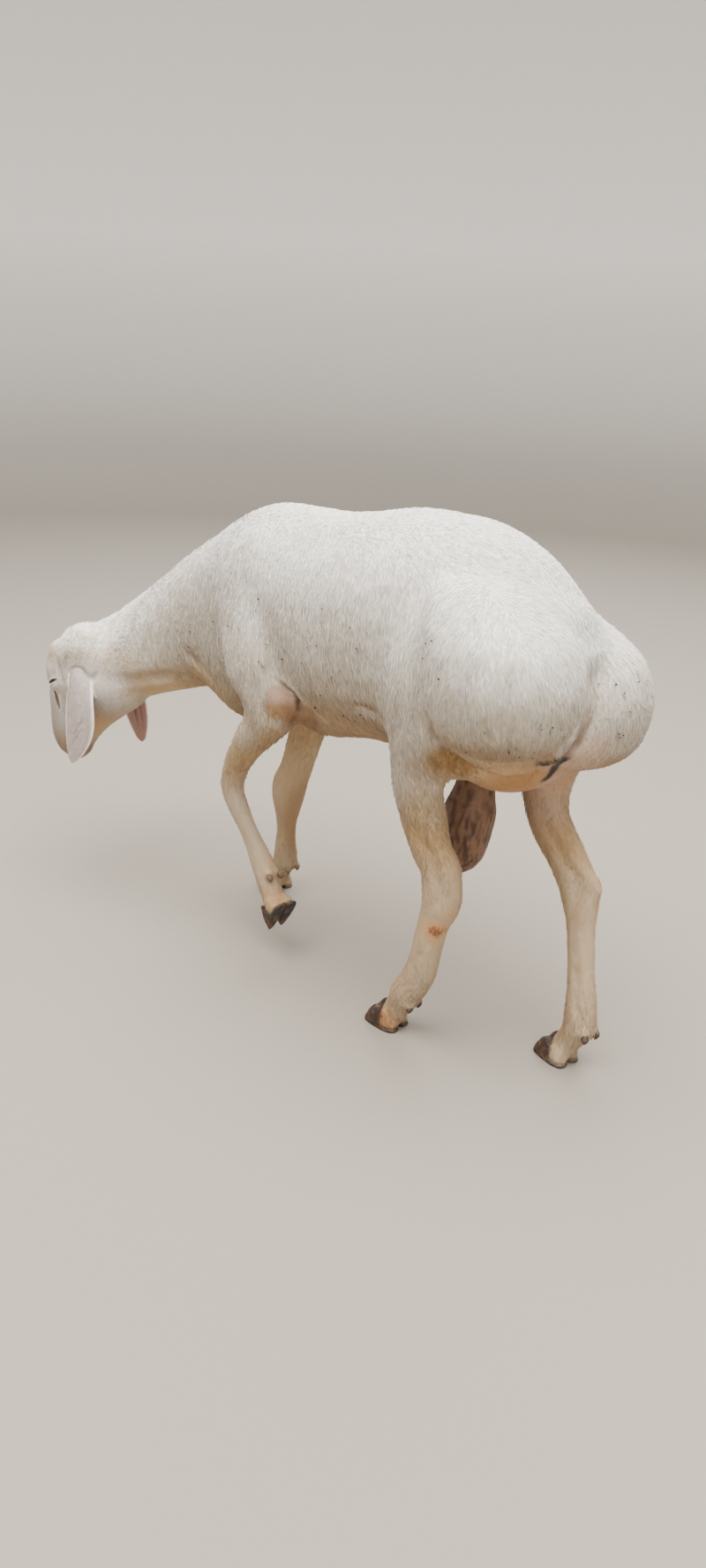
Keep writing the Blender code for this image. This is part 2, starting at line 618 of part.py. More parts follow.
def add_eyes_and_ears():
    for sign, side in SIDES:
        place = head_place(EYE_AT[0], sign * EYE_AT[1], EYE_AT[2])
        socket = ball(place, (EYE_RADIUS + GAP,) * 3, segments=EYE_SEGMENTS)
        ball_mesh = ball(place, (EYE_RADIUS,) * 3, segments=EYE_SEGMENTS)
        set_in(["head"], "eye_" + side, socket, ball_mesh)
        name = "ear_" + side
        set_in(["head"], name, ear_mesh(name, EAR_GAP), ear_mesh(name))


def add_scrotum():
    grown, real = (path_loft(SCROTUM, SCROTUM_RINGS, grow, SCROTUM_POINTS) for grow in (GAP, 0.0))
    set_in(["trunk", "leg_hind_left", "leg_hind_right"], "scrotum", grown, real)


def dress():
    """Gives each piece its finish and smooth shading."""
    materials = {}
    for name, (colour, roughness, metallic) in FINISHES.items():
        material = bpy.data.materials.new(name)
        material.use_nodes = True
        shader = material.node_tree.nodes["Principled BSDF"]
        shader.inputs["Base Color"].default_value = (*colour, 1.0)
        shader.inputs["Roughness"].default_value = roughness
        shader.inputs["Metallic"].default_value = metallic
        materials[name] = material
    for obj in bpy.data.objects:
        obj.data.materials.clear()
        obj.data.materials.append(materials[WEARS[obj.name.split("_")[0]]])
        obj.data.shade_smooth()
        obj.data.set_sharp_from_angle(angle=SHARP_ANGLE)


def centre_all():
    """Hangs every piece on an empty that puts the origin under the middle of the box."""
    corners = np.array([v.co for obj in bpy.data.objects for v in obj.data.vertices])
    low = corners.min(axis=0)
    high = corners.max(axis=0)
    pieces = list(bpy.data.objects)
    stand = add_object("ram", None)
    stand.location = (-(low[0] + high[0]) / 2, -(low[1] + high[1]) / 2, -low[2])
    for obj in pieces:
        obj.parent = stand


def main():
    clear_scene()
    part_flesh(whole_flesh())
    add_feet()
    add_eyes_and_ears()
    add_scrotum()
    dress()
    centre_all()


main()
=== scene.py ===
"""A shorn fat-tailed ram, head low and one front foot lifted, as a still life-size model.

One skin covers all the flesh, ears and lids included. Short straight fleece lies over it
in many small tufts, and eyes, claws and dewclaws are pieces of their own.
"""

import json
import logging
import math
from collections.abc import Callable
from dataclasses import dataclass, field
from enum import Enum

import bmesh
import bpy
import numpy as np
from bmesh.types import BMesh
from bpy.types import Material, Mesh, Node, NodeSocket, NodeTree, Object, bpy_prop_collection
from mathutils import Matrix, Vector
from mathutils.bvhtree import BVHTree
from mathutils.kdtree import KDTree

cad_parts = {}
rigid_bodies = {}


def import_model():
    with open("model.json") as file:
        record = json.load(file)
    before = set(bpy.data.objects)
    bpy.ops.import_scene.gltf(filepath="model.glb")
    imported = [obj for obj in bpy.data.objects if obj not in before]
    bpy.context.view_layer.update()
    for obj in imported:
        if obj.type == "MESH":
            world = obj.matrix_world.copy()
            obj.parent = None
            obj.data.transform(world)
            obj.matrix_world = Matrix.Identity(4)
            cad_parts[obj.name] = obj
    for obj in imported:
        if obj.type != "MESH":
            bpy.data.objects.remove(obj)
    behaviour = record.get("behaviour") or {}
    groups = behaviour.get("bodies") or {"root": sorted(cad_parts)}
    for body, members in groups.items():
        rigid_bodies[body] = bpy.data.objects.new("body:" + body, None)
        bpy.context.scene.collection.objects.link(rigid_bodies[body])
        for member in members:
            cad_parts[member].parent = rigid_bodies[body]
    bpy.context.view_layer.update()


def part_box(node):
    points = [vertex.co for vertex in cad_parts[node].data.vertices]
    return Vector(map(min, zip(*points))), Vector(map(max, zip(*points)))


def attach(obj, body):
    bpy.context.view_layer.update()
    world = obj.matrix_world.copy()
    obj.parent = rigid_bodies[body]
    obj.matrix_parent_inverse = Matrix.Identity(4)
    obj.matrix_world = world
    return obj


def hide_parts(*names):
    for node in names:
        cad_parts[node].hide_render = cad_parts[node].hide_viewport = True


logging.basicConfig(level=logging.INFO, format="%(message)s")
LOG = logging.getLogger("ram")

Array = np.ndarray
MM = 0.001
UP = Vector((0, 0, 1))
SIDES = ((-1, "left"), (1, "right"))
LEGS = ("front_left", "front_right", "hind_left", "hind_right")
FEET = tuple(f"{leg}_{side}" for leg in LEGS for _, side in SIDES)      # one for each claw


# ------------ small tools
def linear(hex_colour: str) -> tuple[float, float, float]:
    """Turns an sRGB hex colour into linear red, green and blue.

    Args:
        hex_colour: six hex digits after a hash sign.

    Returns:
        The three linear values, from 0 to 1.
    """
    parts = [int(hex_colour[i:i + 2], 16) / 255 for i in (1, 3, 5)]
    return tuple(p / 12.92 if p <= 0.04045 else ((p + 0.055) / 1.055) ** 2.4 for p in parts)


def ramp(value: Array | float, low: Array | float, high: Array | float) -> Array:
    """Rises smoothly from 0 at low to 1 at high; low may be the larger of the two."""
    share = np.clip((np.asarray(value, float) - low) / (high - low), 0.0, 1.0)
    return share * share * (3 - 2 * share)


def curve(value: Array | float, stations: list | tuple) -> Array:
    """Reads a smooth line through a few stations.

    Args:
        value: where to read it, a number or an array.
        stations: places and heights, in rising order of place.

    Returns:
        The heights at value.
    """
    places, heights = np.array(stations, float).T
    value = np.clip(np.asarray(value, float), places[0], places[-1])
    slopes = np.gradient(heights, places)
    k = np.clip(np.searchsorted(places, value, side="right") - 1, 0, len(places) - 2)
    span = places[k + 1] - places[k]
    t = (value - places[k]) / span
    return ((2 * t ** 3 - 3 * t ** 2 + 1) * heights[k] + (t ** 3 - 2 * t ** 2 + t) * span * slopes[k]
            + (3 * t ** 2 - 2 * t ** 3) * heights[k + 1] + (t ** 3 - t ** 2) * span * slopes[k + 1])


def unit(vectors: Array) -> Array:
    """Scales each row to length 1."""
    return vectors / np.maximum(np.linalg.norm(vectors, axis=-1, keepdims=True), 1e-12)


def fall(value: Array | float, low: Array | float, high: Array | float) -> Array:
    """Sinks smoothly from 1 at low to 0 at high."""
    return 1 - ramp(value, low, high)


def gap(points: Array, place: Vector | Array, reach: tuple | float = 1.0) -> Array:
    """The distance of each point from a place, as a share of a reach along X, Y and Z if one is given."""
    return np.linalg.norm((points - np.array(place)) / np.array(reach), axis=1)


def ripple(points: Array, size: float, phase: float = 0.0) -> Array:
    """A soft irregular pattern from about -1 to 1.

    Args:
        points: places in the frame.
        size: about how far apart its hills are, in metres.
        phase: any number, for another pattern of the same kind.

    Returns:
        One value for each point.
    """
    x, y, z = (points * (2 * math.pi / size)).T
    return (np.sin(x + 1.7 * np.sin(0.8 * y + phase)) * np.cos(0.9 * y + 1.3 * np.sin(0.7 * z + phase))
            + 0.6 * np.sin(1.9 * z + 1.5 * np.sin(1.3 * x - phase)) * np.cos(2.1 * y + phase)) / 1.6


def from_path(points: Array, path: list) -> tuple[Array, Array]:
    """How far each point lies from a path of straight runs.

    Args:
        points: places, n by 3.
        path: the path's corners.

    Returns:
        The distance of each point, and how far along the path it is, from 0 to 1.
    """
    corners = np.array([tuple(p) for p in path], float)
    best = np.full(len(points), np.inf)
    share = np.zeros(len(points))
    for k, (a, b) in enumerate(zip(corners, corners[1:])):
        t = np.clip((points - a) @ (b - a) / ((b - a) @ (b - a)), 0, 1)
        far = np.linalg.norm(points - a - t[:, None] * (b - a), axis=1)
        nearer = far < best
        best[nearer] = far[nearer]
        share[nearer] = (k + t[nearer]) / (len(corners) - 1)
    return best, share


def add_object(name: str, mesh: Mesh) -> Object:
    """Puts a mesh into the scene as an object at the origin."""
    obj = bpy.data.objects.new(name, mesh)
    bpy.context.scene.collection.objects.link(obj)
    return obj


def mesh_from_bmesh(name: str, bm: BMesh) -> Mesh:
    """Writes a bmesh out and frees it."""
    mesh = bpy.data.meshes.new(name)
    bm.to_mesh(mesh)
    bm.free()
    return mesh


def mesh_from_arrays(name: str, points: Array, triangles: Array) -> Mesh:
    """Makes a smooth-shaded mesh of triangles.

    Args:
        name: the mesh's name.
        points: an array of n by 3.
        triangles: an array of m by 3, indices into points.

    Returns:
        The mesh.
    """
    mesh = bpy.data.meshes.new(name)
    mesh.vertices.add(len(points))
    mesh.vertices.foreach_set("co", points.astype(np.float32).ravel())
    mesh.loops.add(triangles.size)
    mesh.loops.foreach_set("vertex_index", triangles.astype(np.int32).ravel())
    mesh.polygons.add(len(triangles))
    mesh.polygons.foreach_set("loop_start", np.arange(0, triangles.size, 3, dtype=np.int32))
    mesh.update(calc_edges=True)
    mesh.shade_smooth()
    return mesh


def read(items: bpy_prop_collection, key: str, width: int, kind: type) -> Array:
    """Reads a property of many mesh items at once.

    Args:
        items: vertices, edges, loops or polygons.
        key: the property.
        width: its count of numbers.
        kind: their type.

    Returns:
        A row for each item.
    """
    flat = np.empty(len(items) * width, kind)
    items.foreach_get(key, flat)
    return flat.reshape(-1, width)


def places_of(mesh: Mesh) -> Array:
    """Reads a mesh's vertices as an array of n by 3."""
    return read(mesh.vertices, "co", 3, np.float32).astype(float)


def band(bm: BMesh, a: list, b: list) -> None:
    """Joins two closed rings of vertices with quads."""
    for k in range(len(a)):
        n = (k + 1) % len(a)
        bm.faces.new((a[k], a[n], b[n], b[k]))


def apply_modifiers(obj: Object) -> None:
    """Bakes an object's modifiers into its own mesh."""
    evaluated = obj.evaluated_get(bpy.context.evaluated_depsgraph_get())
    mesh = bpy.data.meshes.new_from_object(evaluated)
    obj.modifiers.clear()
    old, obj.data = obj.data, mesh
    bpy.data.meshes.remove(old)


def boolean(obj: Object, other: Object, operation: str) -> None:
    """Joins another closed object to obj, or cuts it away, and removes the other.

    Args:
        obj: the object that is changed.
        other: the object that is used up.
        operation: UNION or DIFFERENCE.
    """
    modifier = obj.modifiers.new("part", "BOOLEAN")
    modifier.operation, modifier.solver, modifier.object = operation, "MANIFOLD", other
    apply_modifiers(obj)
    bpy.data.objects.remove(other)


def merged_copy(node: str) -> BMesh:
    """A copy of a node's mesh with its loose triangles joined up."""
    bm = bmesh.new()
    bm.from_mesh(bpy.data.objects[node].data)
    bmesh.ops.remove_doubles(bm, verts=bm.verts, dist=0.01 * MM)
    bm.normal_update()
    return bm


def set_tint(mesh: Mesh, colours: Array) -> None:
    """Stores one linear colour for each vertex, which the finishes read by name."""
    layer = mesh.attributes.new("tint", "FLOAT_COLOR", "POINT")
    rgba = np.ones((len(mesh.vertices), 4), np.float32)
    rgba[:, :3] = np.clip(colours, 0, 1)
    layer.data.foreach_set("color", rgba.ravel())


def mix(colours: Array, other: str, share: Array) -> Array:
    """Moves each linear colour towards a hex colour by its share."""
    return colours + (np.array(linear(other)) - colours) * np.asarray(share)[:, None]


def paint(colours: Array, layers: list) -> Array:
    """Mixes in hex colours one after the other, each by its own share at each point."""
    for other, share in layers:
        colours = mix(colours, other, share)
    return colours


def fill(points: Array, hex_colour: str) -> Array:
    """The same linear colour for every point."""
    return np.tile(linear(hex_colour), (len(points), 1))


def dress(piece: Object, colours: Array, finish: Material) -> Object:
    """Colours a piece, gives it its finish, sets it on the body and reports it.

    Args:
        piece: the finished shape.
        colours: a linear colour for each vertex.
        finish: the material.

    Returns:
        The piece.
    """
    set_tint(piece.data, colours)
    piece.data.materials.append(finish)
    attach(piece, "root")
    LOG.info("%s: %d faces", piece.name, len(piece.data.polygons))
    return piece


def add(tree: NodeTree, kind: str, settings: dict | None = None,
        inputs: dict | None = None) -> Node:
    """Adds a node with its settings, and fills or links its inputs.

    Args:
        tree: the tree that the node goes in.
        kind: the node's type.
        settings: properties of the node and their values.
        inputs: sockets, by name or number, and a value or another node's output for each.

    Returns:
        The node.
    """
    node = tree.nodes.new(kind)
    for key, value in (settings or {}).items():
        setattr(node, key, value)
    for key, value in (inputs or {}).items():
        if isinstance(value, NodeSocket):
            tree.links.new(value, node.inputs[key])
        else:
            node.inputs[key].default_value = value
    return node


def claw_axes(node: str) -> tuple[Array, Array]:
    """A claw's direction away from its sole, and its direction towards the toe.

    Args:
        node: the claw's node.

    Returns:
        Both directions, square to each other.
    """
    bm = merged_copy(node)
    totals: dict = {}
    for f in bm.faces:
        key = tuple(round(x, 2) for x in f.normal)
        totals[key] = totals.get(key, 0.0) + f.calc_area()
    bm.free()
    up = -unit(np.array([max(totals, key=totals.get)], float))[0]
    ahead = np.array(middle_of(node) - middle_of(f"dew{node}"))
    return up, unit((ahead - up * (ahead @ up))[None])[0]


# ------------ places
def box_of(node: str) -> tuple[Array, Array]:
    """The lowest and highest corners of a node's box."""
    low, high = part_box(node)
    return np.array(low), np.array(high)


def in_box(points: Array, node: str, spare: float) -> Array:
    """Which points lie in a node's box, or within a spare distance of it."""
    low, high = box_of(node)
    return np.all((points > low - spare) & (points < high + spare), axis=1)


def middle_of(node: str) -> Vector:
    """The middle of a node's box."""
    low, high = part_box(node)
    return (Vector(low) + Vector(high)) / 2


def share_of(node: str, x: float, y: float, z: float) -> Array:
    """A place given as shares of a node's box along X, Y and Z."""
    low, high = box_of(node)
    return low + (high - low) * np.array([x, y, z])


def on(node: str, *shares: tuple[float, float, float]) -> tuple:
    """Places on one node, each with the node's name before its shares."""
    return tuple((node, *share) for share in shares)


@dataclass
class Head:
    """The head's own axes, worked out from where the eyes sit."""

    tuck: float = math.radians(-3)      # of the face past upright, muzzle to the chest
    eye_along: float = 0.11            # from the poll down to the eyes
    eye_up: float = 0.013               # ahead of the poll, square to the face

    def __post_init__(self) -> None:
        """Reads the eyes' places from the frame."""
        left, right = (middle_of(f"eye_{side}") for _, side in SIDES)
        self.across = (right - left).normalized()
        facing = UP.cross(self.across)
        self.along = -math.sin(self.tuck) * facing - math.cos(self.tuck) * UP
        self.up = math.cos(self.tuck) * facing - math.sin(self.tuck) * UP
        self.origin = (left + right) / 2 - self.along * self.eye_along - self.up * self.eye_up
        self.eye_across = (right - left).length / 2
        low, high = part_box("eye_left")
        self.eye_radius = (high.z - low.z) / 2

    def place(self, along: float, across: float, up: float) -> Vector:
        """A place given in the head's axes, in metres of the frame."""
        return self.origin + self.direction(along, across, up)

    def path(self, places: tuple, side: int) -> list[Vector]:
        """Places in the head's axes, on its right side where side is 1 and its left where it is -1."""
        return [self.place(along, side * across, up) for along, across, up in places]

    def direction(self, along: float, across: float, up: float) -> Vector:
        """A direction given in the head's axes."""
        return self.along * along + self.across * across + self.up * up

    def local(self, points: Array) -> Array:
        """Turns places in the frame into along, across and up."""
        axes = np.array([self.along, self.across, self.up])
        return (points - np.array(self.origin)) @ axes.T

    def eye(self, side: int) -> Vector:
        """The middle of an eye."""
        return self.place(self.eye_along, side * self.eye_across, self.eye_up)


@dataclass
class LegLine:
    """A leg's middle and half sizes at each height, read from its solid."""

    node: str
    step: float = 6 * MM

    def __post_init__(self) -> None:
        """Slices the solid's vertices by height."""
        points = places_of(bpy.data.objects[self.node].data)
        low, high = points[:, 2].min(), points[:, 2].max()
        self.heights = np.arange(low + 0.004, high - 0.004, self.step)
        rows = []
        for height in self.heights:
            near = points[np.abs(points[:, 2] - height) < 1.6 * self.step]
            if len(near) < 6:
                rows.append(rows[-1])
                continue
            least, most = near[:, :2].min(axis=0), near[:, :2].max(axis=0)
            rows.append([*(least + most) / 2, *(most - least) / 2])
        rows = np.array(rows)
        for _ in range(3):
            rows[1:-1] = (rows[:-2] + rows[1:-1] * 2 + rows[2:]) / 4
        self.rows = rows

    def local(self, points: Array) -> tuple[Array, Array]:
        """How far back and how far to the right each point is, as shares of the half sizes."""
        x, y, half_x, half_y = (np.interp(points[:, 2], self.heights, self.rows[:, k]) for k in range(4))
        return (points[:, 0] - x) / half_x, (points[:, 1] - y) / half_y


# ------------ markings
@dataclass(frozen=True)
class Mark:
    """A soft-edged patch of colour on skin and coat alike."""

    node: str
    share: tuple[float, float, float]
    reach: tuple[float, float, float]
    colour: str
    strength: float
    ragged: float = 0.0
    bare: float = 0.0              # how much shorter the coat is there

    def weigh(self, points: Array) -> Array:
        """How strongly the patch colours each point, from 0 to its strength."""
        far = gap(points, share_of(self.node, *self.share), self.reach)
        far += self.ragged * ripple(points, min(self.reach) * 0.9)
        return self.strength * fall(far, 0.4, 1.0)


@dataclass(frozen=True)
class Crease:
    """A fold of loose skin, with shade and dirt in its depth."""

    places: tuple[tuple[str, float, float, float], ...]
    depth: float
    half: float                    # half its width
    strength: float                # of its colour
    colour: str = "#6B4E38"

    def path(self) -> list[Array]:
        """The fold's corners in the frame."""
        return [share_of(*place) for place in self.places]

    def weigh(self, points: Array) -> Array:
        """How strongly the fold's depth is darkened at each point."""
        far, share = from_path(points, self.path())
        ends = np.clip(12 * np.minimum(share, 1 - share), 0.0, 1.0)
        return self.strength * ends * fall(far, 0.3 * self.half, 0.6 * self.half + 0.6 * self.depth)


@dataclass
class Markings:
    """The coat's colours: one rule for the skin and for every tuft."""

    head: Head
    # laid on upward faces high on the body: painted light from above
    white: str = "#F5F1EA"
    flank: str = "#DBD0BF"
    # tan of the belly, deepened with painted shade, laid on downward faces
    belly_tan_and_shade: str = "#A07A4C"
    # tan of the legs, deepened with painted shade low on the body
    leg: str = "#B1936B"
    leg_stain: str = "#8F6A42"
    # painted light on the sides of the legs that face the camera
    leg_painted_light: str = "#C5B59E"
    face: str = "#BEB7AE"
    nose: str = "#998D80"
    grime: str = "#8E8272"
    # tan under the jaw, deepened with painted shade
    muzzle: str = "#B08C62"
    # the colour named lips is painted shade on the lower sides of the muzzle, about the mouth
    lips: str = "#7C5B42"
    dust: str = "#A98A5F"
    cloud: str = "#C9C4BD"
    groove: str = "#5A432E"
    fleck: str = "#3A322A"
    flecks: int = 110
    fleck_size: float = 2.2 * MM
    bald: tuple = (0.455, 0.11, 0.28)      # the flap at the elbow, where nothing sticks
    marks: tuple[Mark, ...] = (
        Mark("neck", (0.63, 0.3, 0.02), (0.13, 0.12, 0.07), "#D6B98C", 0.65),
        Mark("trunk", (0.1, 0.3, 0.15), (0.08, 0.09, 0.06), "#D2B387", 0.6),
        Mark("head", (0.57, 0.33, 0.25), (0.06, 0.06, 0.05), "#C2A176", 0.75),
        Mark("trunk", (0.45, 0.11, 0.29), (0.036, 0.04, 0.036), "#A9806B", 0.74, 0.0, 0.8),
        # dark brown behind the elbow's flap: painted shade
        Mark("trunk", (0.495, 0.14, 0.27), (0.014, 0.03, 0.03), "#6B4A38", 0.6, 0.0, 0.6),
        Mark("trunk", (0.6, 0.14, 0.22), (0.12, 0.08, 0.05), "#CBA983", 0.6),
        Mark("trunk", (0.707, 0.087, 0.367), (0.02, 0.02, 0.012), "#8F7B66", 0.6, 0.3),
        Mark("trunk", (0.734, 0.087, 0.794), (0.014, 0.02, 0.01), "#A39D97", 0.5, 0.3),
        Mark("trunk", (0.69, 0.057, 0.745), (0.03, 0.02, 0.005), "#B5AFA8", 0.5, 0.3),
        Mark("tail_lobe_left", (0.58, 0.45, 0.00), (0.09, 0.1, 0.05), "#A97B45", 0.8, 0.0, 0.5),
        Mark("tail_lobe_right", (0.62, 0.5, -0.02), (0.1, 0.1, 0.07), "#B38A62", 0.7, 0.0, 0.5),
        Mark("trunk", (0.94, 0.45, 0.16), (0.09, 0.12, 0.09), "#AC7B46", 0.8, 0.0, 0.6),
        Mark("tail_lobe_left", (0.5, 0.35, 0.08), (0.12, 0.13, 0.05), "#D8BD96", 0.45),
        Mark("tail_lobe_right", (0.86, 0.1, 0.13), (0.07, 0.05, 0.05), "#CFAE98", 0.6, 0.0, 0.4),
        Mark("leg_hind_left", (0.663, 0.402, 0.44), (0.034, 0.028, 0.03), "#CB9A62", 0.75, 0.2),
        Mark("leg_hind_left", (0.664, 0.402, 0.445), (0.015, 0.018, 0.012), "#7E4A26", 0.9, 0.5, 0.7),
        Mark("leg_hind_left", (0.8, 0.35, 0.5), (0.03, 0.03, 0.04), "#CF9F62", 0.5, 0.2),
        Mark("leg_hind_right", (0.93, 0.5, 0.58), (0.035, 0.03, 0.055), "#C98E50", 0.65, 0.2),
        Mark("leg_hind_right", (0.55, 0.15, 0.95), (0.08, 0.05, 0.12), "#C4A392", 0.6),
        Mark("claw_hind_left_left", (0.62, 0.5, 0.6), (0.034, 0.03, 0.026), "#A56A34", 0.85, 0.3),
        Mark("claw_front_left_left", (0.5, 0.5, 0.9), (0.034, 0.03, 0.026), "#B98A5C", 0.6, 0.3),
        # a dark line in the crease of the temple: painted shade
        Mark("head", (0.455, 0.06, 0.73), (0.008, 0.02, 0.02), "#8E8274", 0.6),
        Mark("leg_front_right", (0.55, 0.2, 0.7), (0.12, 0.06, 0.16), "#CDB08A", 0.6),
        Mark("leg_front_left", (0.62, 0.25, 0.93), (0.03, 0.03, 0.03), "#C9A878", 0.7),
        Mark("leg_front_left", (0.4, 0.4, 0.4), (0.07, 0.06, 0.1), "#B3A48F", 0.6),
        # the far foreleg darkened: painted shade
        Mark("leg_front_right", (0.5, 0.5, 0.35), (0.08, 0.06, 0.13), "#97744C", 0.6),
        # dark brown in the armpit: painted shade
        Mark("trunk", (0.5, 0.175, 0.243), (0.03, 0.036, 0.028), "#86633F", 0.7, 0.0, 0.4),
        Mark("trunk", (0.468, 0.21, 0.2), (0.05, 0.054, 0.04), "#8C6741", 0.8),
        Mark("trunk", (0.433, 0.11, 0.232), (0.022, 0.03, 0.022), "#B9935F", 0.65),
        Mark("trunk", (0.908, 0.18, 0.266), (0.032, 0.036, 0.03), "#A27C4E", 0.85),
        Mark("trunk", (0.888, 0.105, 0.283), (0.032, 0.035, 0.03), "#A07B4E", 0.9),
        Mark("trunk", (1.038, 0.445, 0.33), (0.016, 0.018, 0.024), "#A38E80", 0.85),
        Mark("trunk", (1.028, 0.438, 0.298), (0.02, 0.02, 0.015), "#160D0A", 1.0, 0.3),
        Mark("trunk", (1.007, 0.405, 0.279), (0.018, 0.02, 0.012), "#2C1B13", 0.95, 0.4),
    )
    creases: tuple[Crease, ...] = (
        # the edge of the flap at the elbow, and the fold from the neck to the shoulder
        Crease(on("trunk", (0.445, 0.095, 0.355), (0.489, 0.116, 0.326), (0.497, 0.131, 0.297),
                  (0.48, 0.165, 0.255), (0.456, 0.198, 0.223), (0.43, 0.189, 0.16)),
               10 * MM, 6 * MM, 0.72, "#46301F"),
        Crease(on("neck", (0.715, 0.191, 0.349))
               + on("trunk", (0.074, 0.288, 0.222), (0.14, 0.301, 0.148)), 6 * MM, 15 * MM, 0.2),
        # a short fold of the flank, the fold between tail and thigh, and the neck's two
        Crease(on("trunk", (0.66, 0.09, 0.36), (0.707, 0.087, 0.367), (0.75, 0.09, 0.34)),
               4 * MM, 9 * MM, 0.2),
        Crease(on("tail_lobe_left", (0.585, 0.752, 0.02)) + on("leg_hind_left", (0.937, 0.872, 0.969)),
               5 * MM, 7 * MM, 0.4),
        Crease(on("head", (0.834, 0.267, 0.653))
               + on("neck", (0.336, 0.108, 0.113), (0.496, 0.2, 0.155), (0.644, 0.256, 0.195)),
               4 * MM, 20 * MM, 0.08),
        Crease(on("head", (0.834, 0.733, 0.653)) + on("neck", (0.336, 0.892, 0.113), (0.496, 0.8, 0.155)),
               4 * MM, 20 * MM, 0.08),
        # under the left cushion of the tail, then the cleft between the cushions, above and below
        Crease(on("tail_lobe_left", (0.24, 0.117, 0.33), (0.302, 0.218, 0.15), (0.396, 0.377, 0.05),
                  (0.479, 0.64, -0.03), (0.62, 0.88, -0.01)), 18 * MM, 17 * MM, 0.6, "#8F6536"),
        Crease(on("trunk", (1.045, 0.6, 0.62), (1.039, 0.557, 0.494), (1.037, 0.525, 0.4),
                  (1.033, 0.458, 0.315)), 7 * MM, 17 * MM, 0.0),
        Crease(on("trunk", (1.039, 0.565, 0.53), (1.04, 0.541, 0.447), (1.034, 0.507, 0.353),
                  (1.033, 0.458, 0.315), (1.012, 0.42, 0.28)), 12 * MM, 8 * MM, 0.7, "#6F5443"),
        # a dark smear that runs down from the cleft, bare skin beside it, and the last fold below
        Crease(on("trunk", (1.036, 0.445, 0.31), (1.005, 0.476, 0.256), (0.994, 0.501, 0.226),
                  (0.983, 0.506, 0.194), (0.974, 0.484, 0.174)), 0.0, 15 * MM, 1.0, "#140B08"),
        Crease(on("trunk", (1.045, 0.53, 0.48), (1.043, 0.507, 0.406), (1.035, 0.501, 0.355),
                  (1.031, 0.48, 0.322), (1.029, 0.455, 0.3)), 0.0, 17 * MM, 0.6, "#8C7365"),
        Crease(on("trunk", (1.001, 0.387, 0.268), (0.974, 0.435, 0.207), (0.961, 0.416, 0.168)),
               3 * MM, 6 * MM, 0.5, "#8A6238"),
    )

    def scatter_flecks(self, points: Array, normals: Array) -> None:
        """Chooses where small specks of dirt stick: low shoulder, neck, flank and tail.

        Args:
            points: the skin's vertices.
            normals: the outward directions there.
        """
        rng = np.random.default_rng(61)
        spots = (("neck", (0.7, 0.2, 0.35), 0.09), ("trunk", (0.3, 0.1, 0.45), 0.13),
                 ("trunk", (0.45, 0.1, 0.4), 0.13), ("trunk", (0.62, 0.1, 0.42), 0.13),
                 ("tail_lobe_left", (0.3, 0.1, 0.55), 0.06), ("tail_lobe_left", (0.8, 0.4, 0.3), 0.09),
                 ("tail_lobe_right", (0.9, 0.3, 0.4), 0.08))
        weight = np.zeros(len(points))
        for node, share, reach in spots:
            weight += fall(gap(points, share_of(node, *share)), 0.2 * reach, reach)
        weight *= ramp(gap(points, share_of("trunk", *self.bald)), 0.04, 0.05)
        chosen = rng.choice(len(points), self.flecks, replace=False, p=weight / weight.sum())
        self.centres, self.outward = points[chosen], normals[chosen]
        self.sizes = self.fleck_size * rng.uniform(0.4, 1.3, self.flecks)

    def speck(self, points: Array) -> Array:
        """How much of a speck of dirt lies at each point, from 0 to 1."""
        weight = np.zeros(len(points))
        for centre, size in zip(self.centres, self.sizes):
            near = np.abs(points[:, 0] - centre[0]) < 2 * size
            here = fall(gap(points[near], centre), 0.6 * size, 1.2 * size)
            weight[near] = np.maximum(weight[near], here)
        return weight

    def tint(self, points: Array, normals: Array) -> Array:
        """The linear colour of skin or coat at each point, painted light and shade included.

        Args:
            points: places in the frame, n by 3.
            normals: the skin's outward directions there, n by 3.

        Returns:
            Linear colours, n by 3.
        """
        height = points[:, 2]
        soft = 0.04 * ripple(points, 0.16)
        high = ramp(height + soft, 0.53, 0.66)
        nape = ramp(points[:, 0], -0.2, -0.34) * ramp(normals[:, 2], -0.1, 0.5)
        # Upward faces high on the body and on the neck are painted white: painted light from above.
        facing = ramp(normals[:, 2] + soft, -0.25, 0.5) * np.maximum(high, nape)
        # Downward faces low on the body are painted tan: the belly's stain together with painted shade on
        # the underside.
        under = ramp(normals[:, 2], 0.0, -0.75) * ramp(height, 0.66, 0.52)
        stain = ramp(ripple(points, 0.035, 5.0), 0.05, 0.9) * ramp(height, 0.5, 0.36)
        # Sides of the lower legs that face the camera are painted lighter: painted light.
        lit_side = ramp(normals @ np.array([0.6, -0.7, 0.1]), 0.2, 0.9) * ramp(height, 0.36, 0.28)
        down, _, ahead = self.head.local(points).T
        in_head = ramp(points[:, 0], -0.36, -0.42) * ramp(down, 0.02, 0.08)
        crown = ramp(down, 0.1, 0.04) * ramp(ahead, -0.06, 0.02)
        bridge = in_head * ramp(down, 0.12, 0.19) * ramp(ahead, 0.0, 0.04)
        grime = ramp(ripple(points, 0.016, 3.0), 0.0, 0.9) * in_head * ramp(down, 0.06, 0.12)
        # The underside of the jaw is painted tan: its own tan together with painted shade.
        jaw = in_head * ramp(ahead, -0.02, -0.07) * ramp(down, 0.11, 0.18)
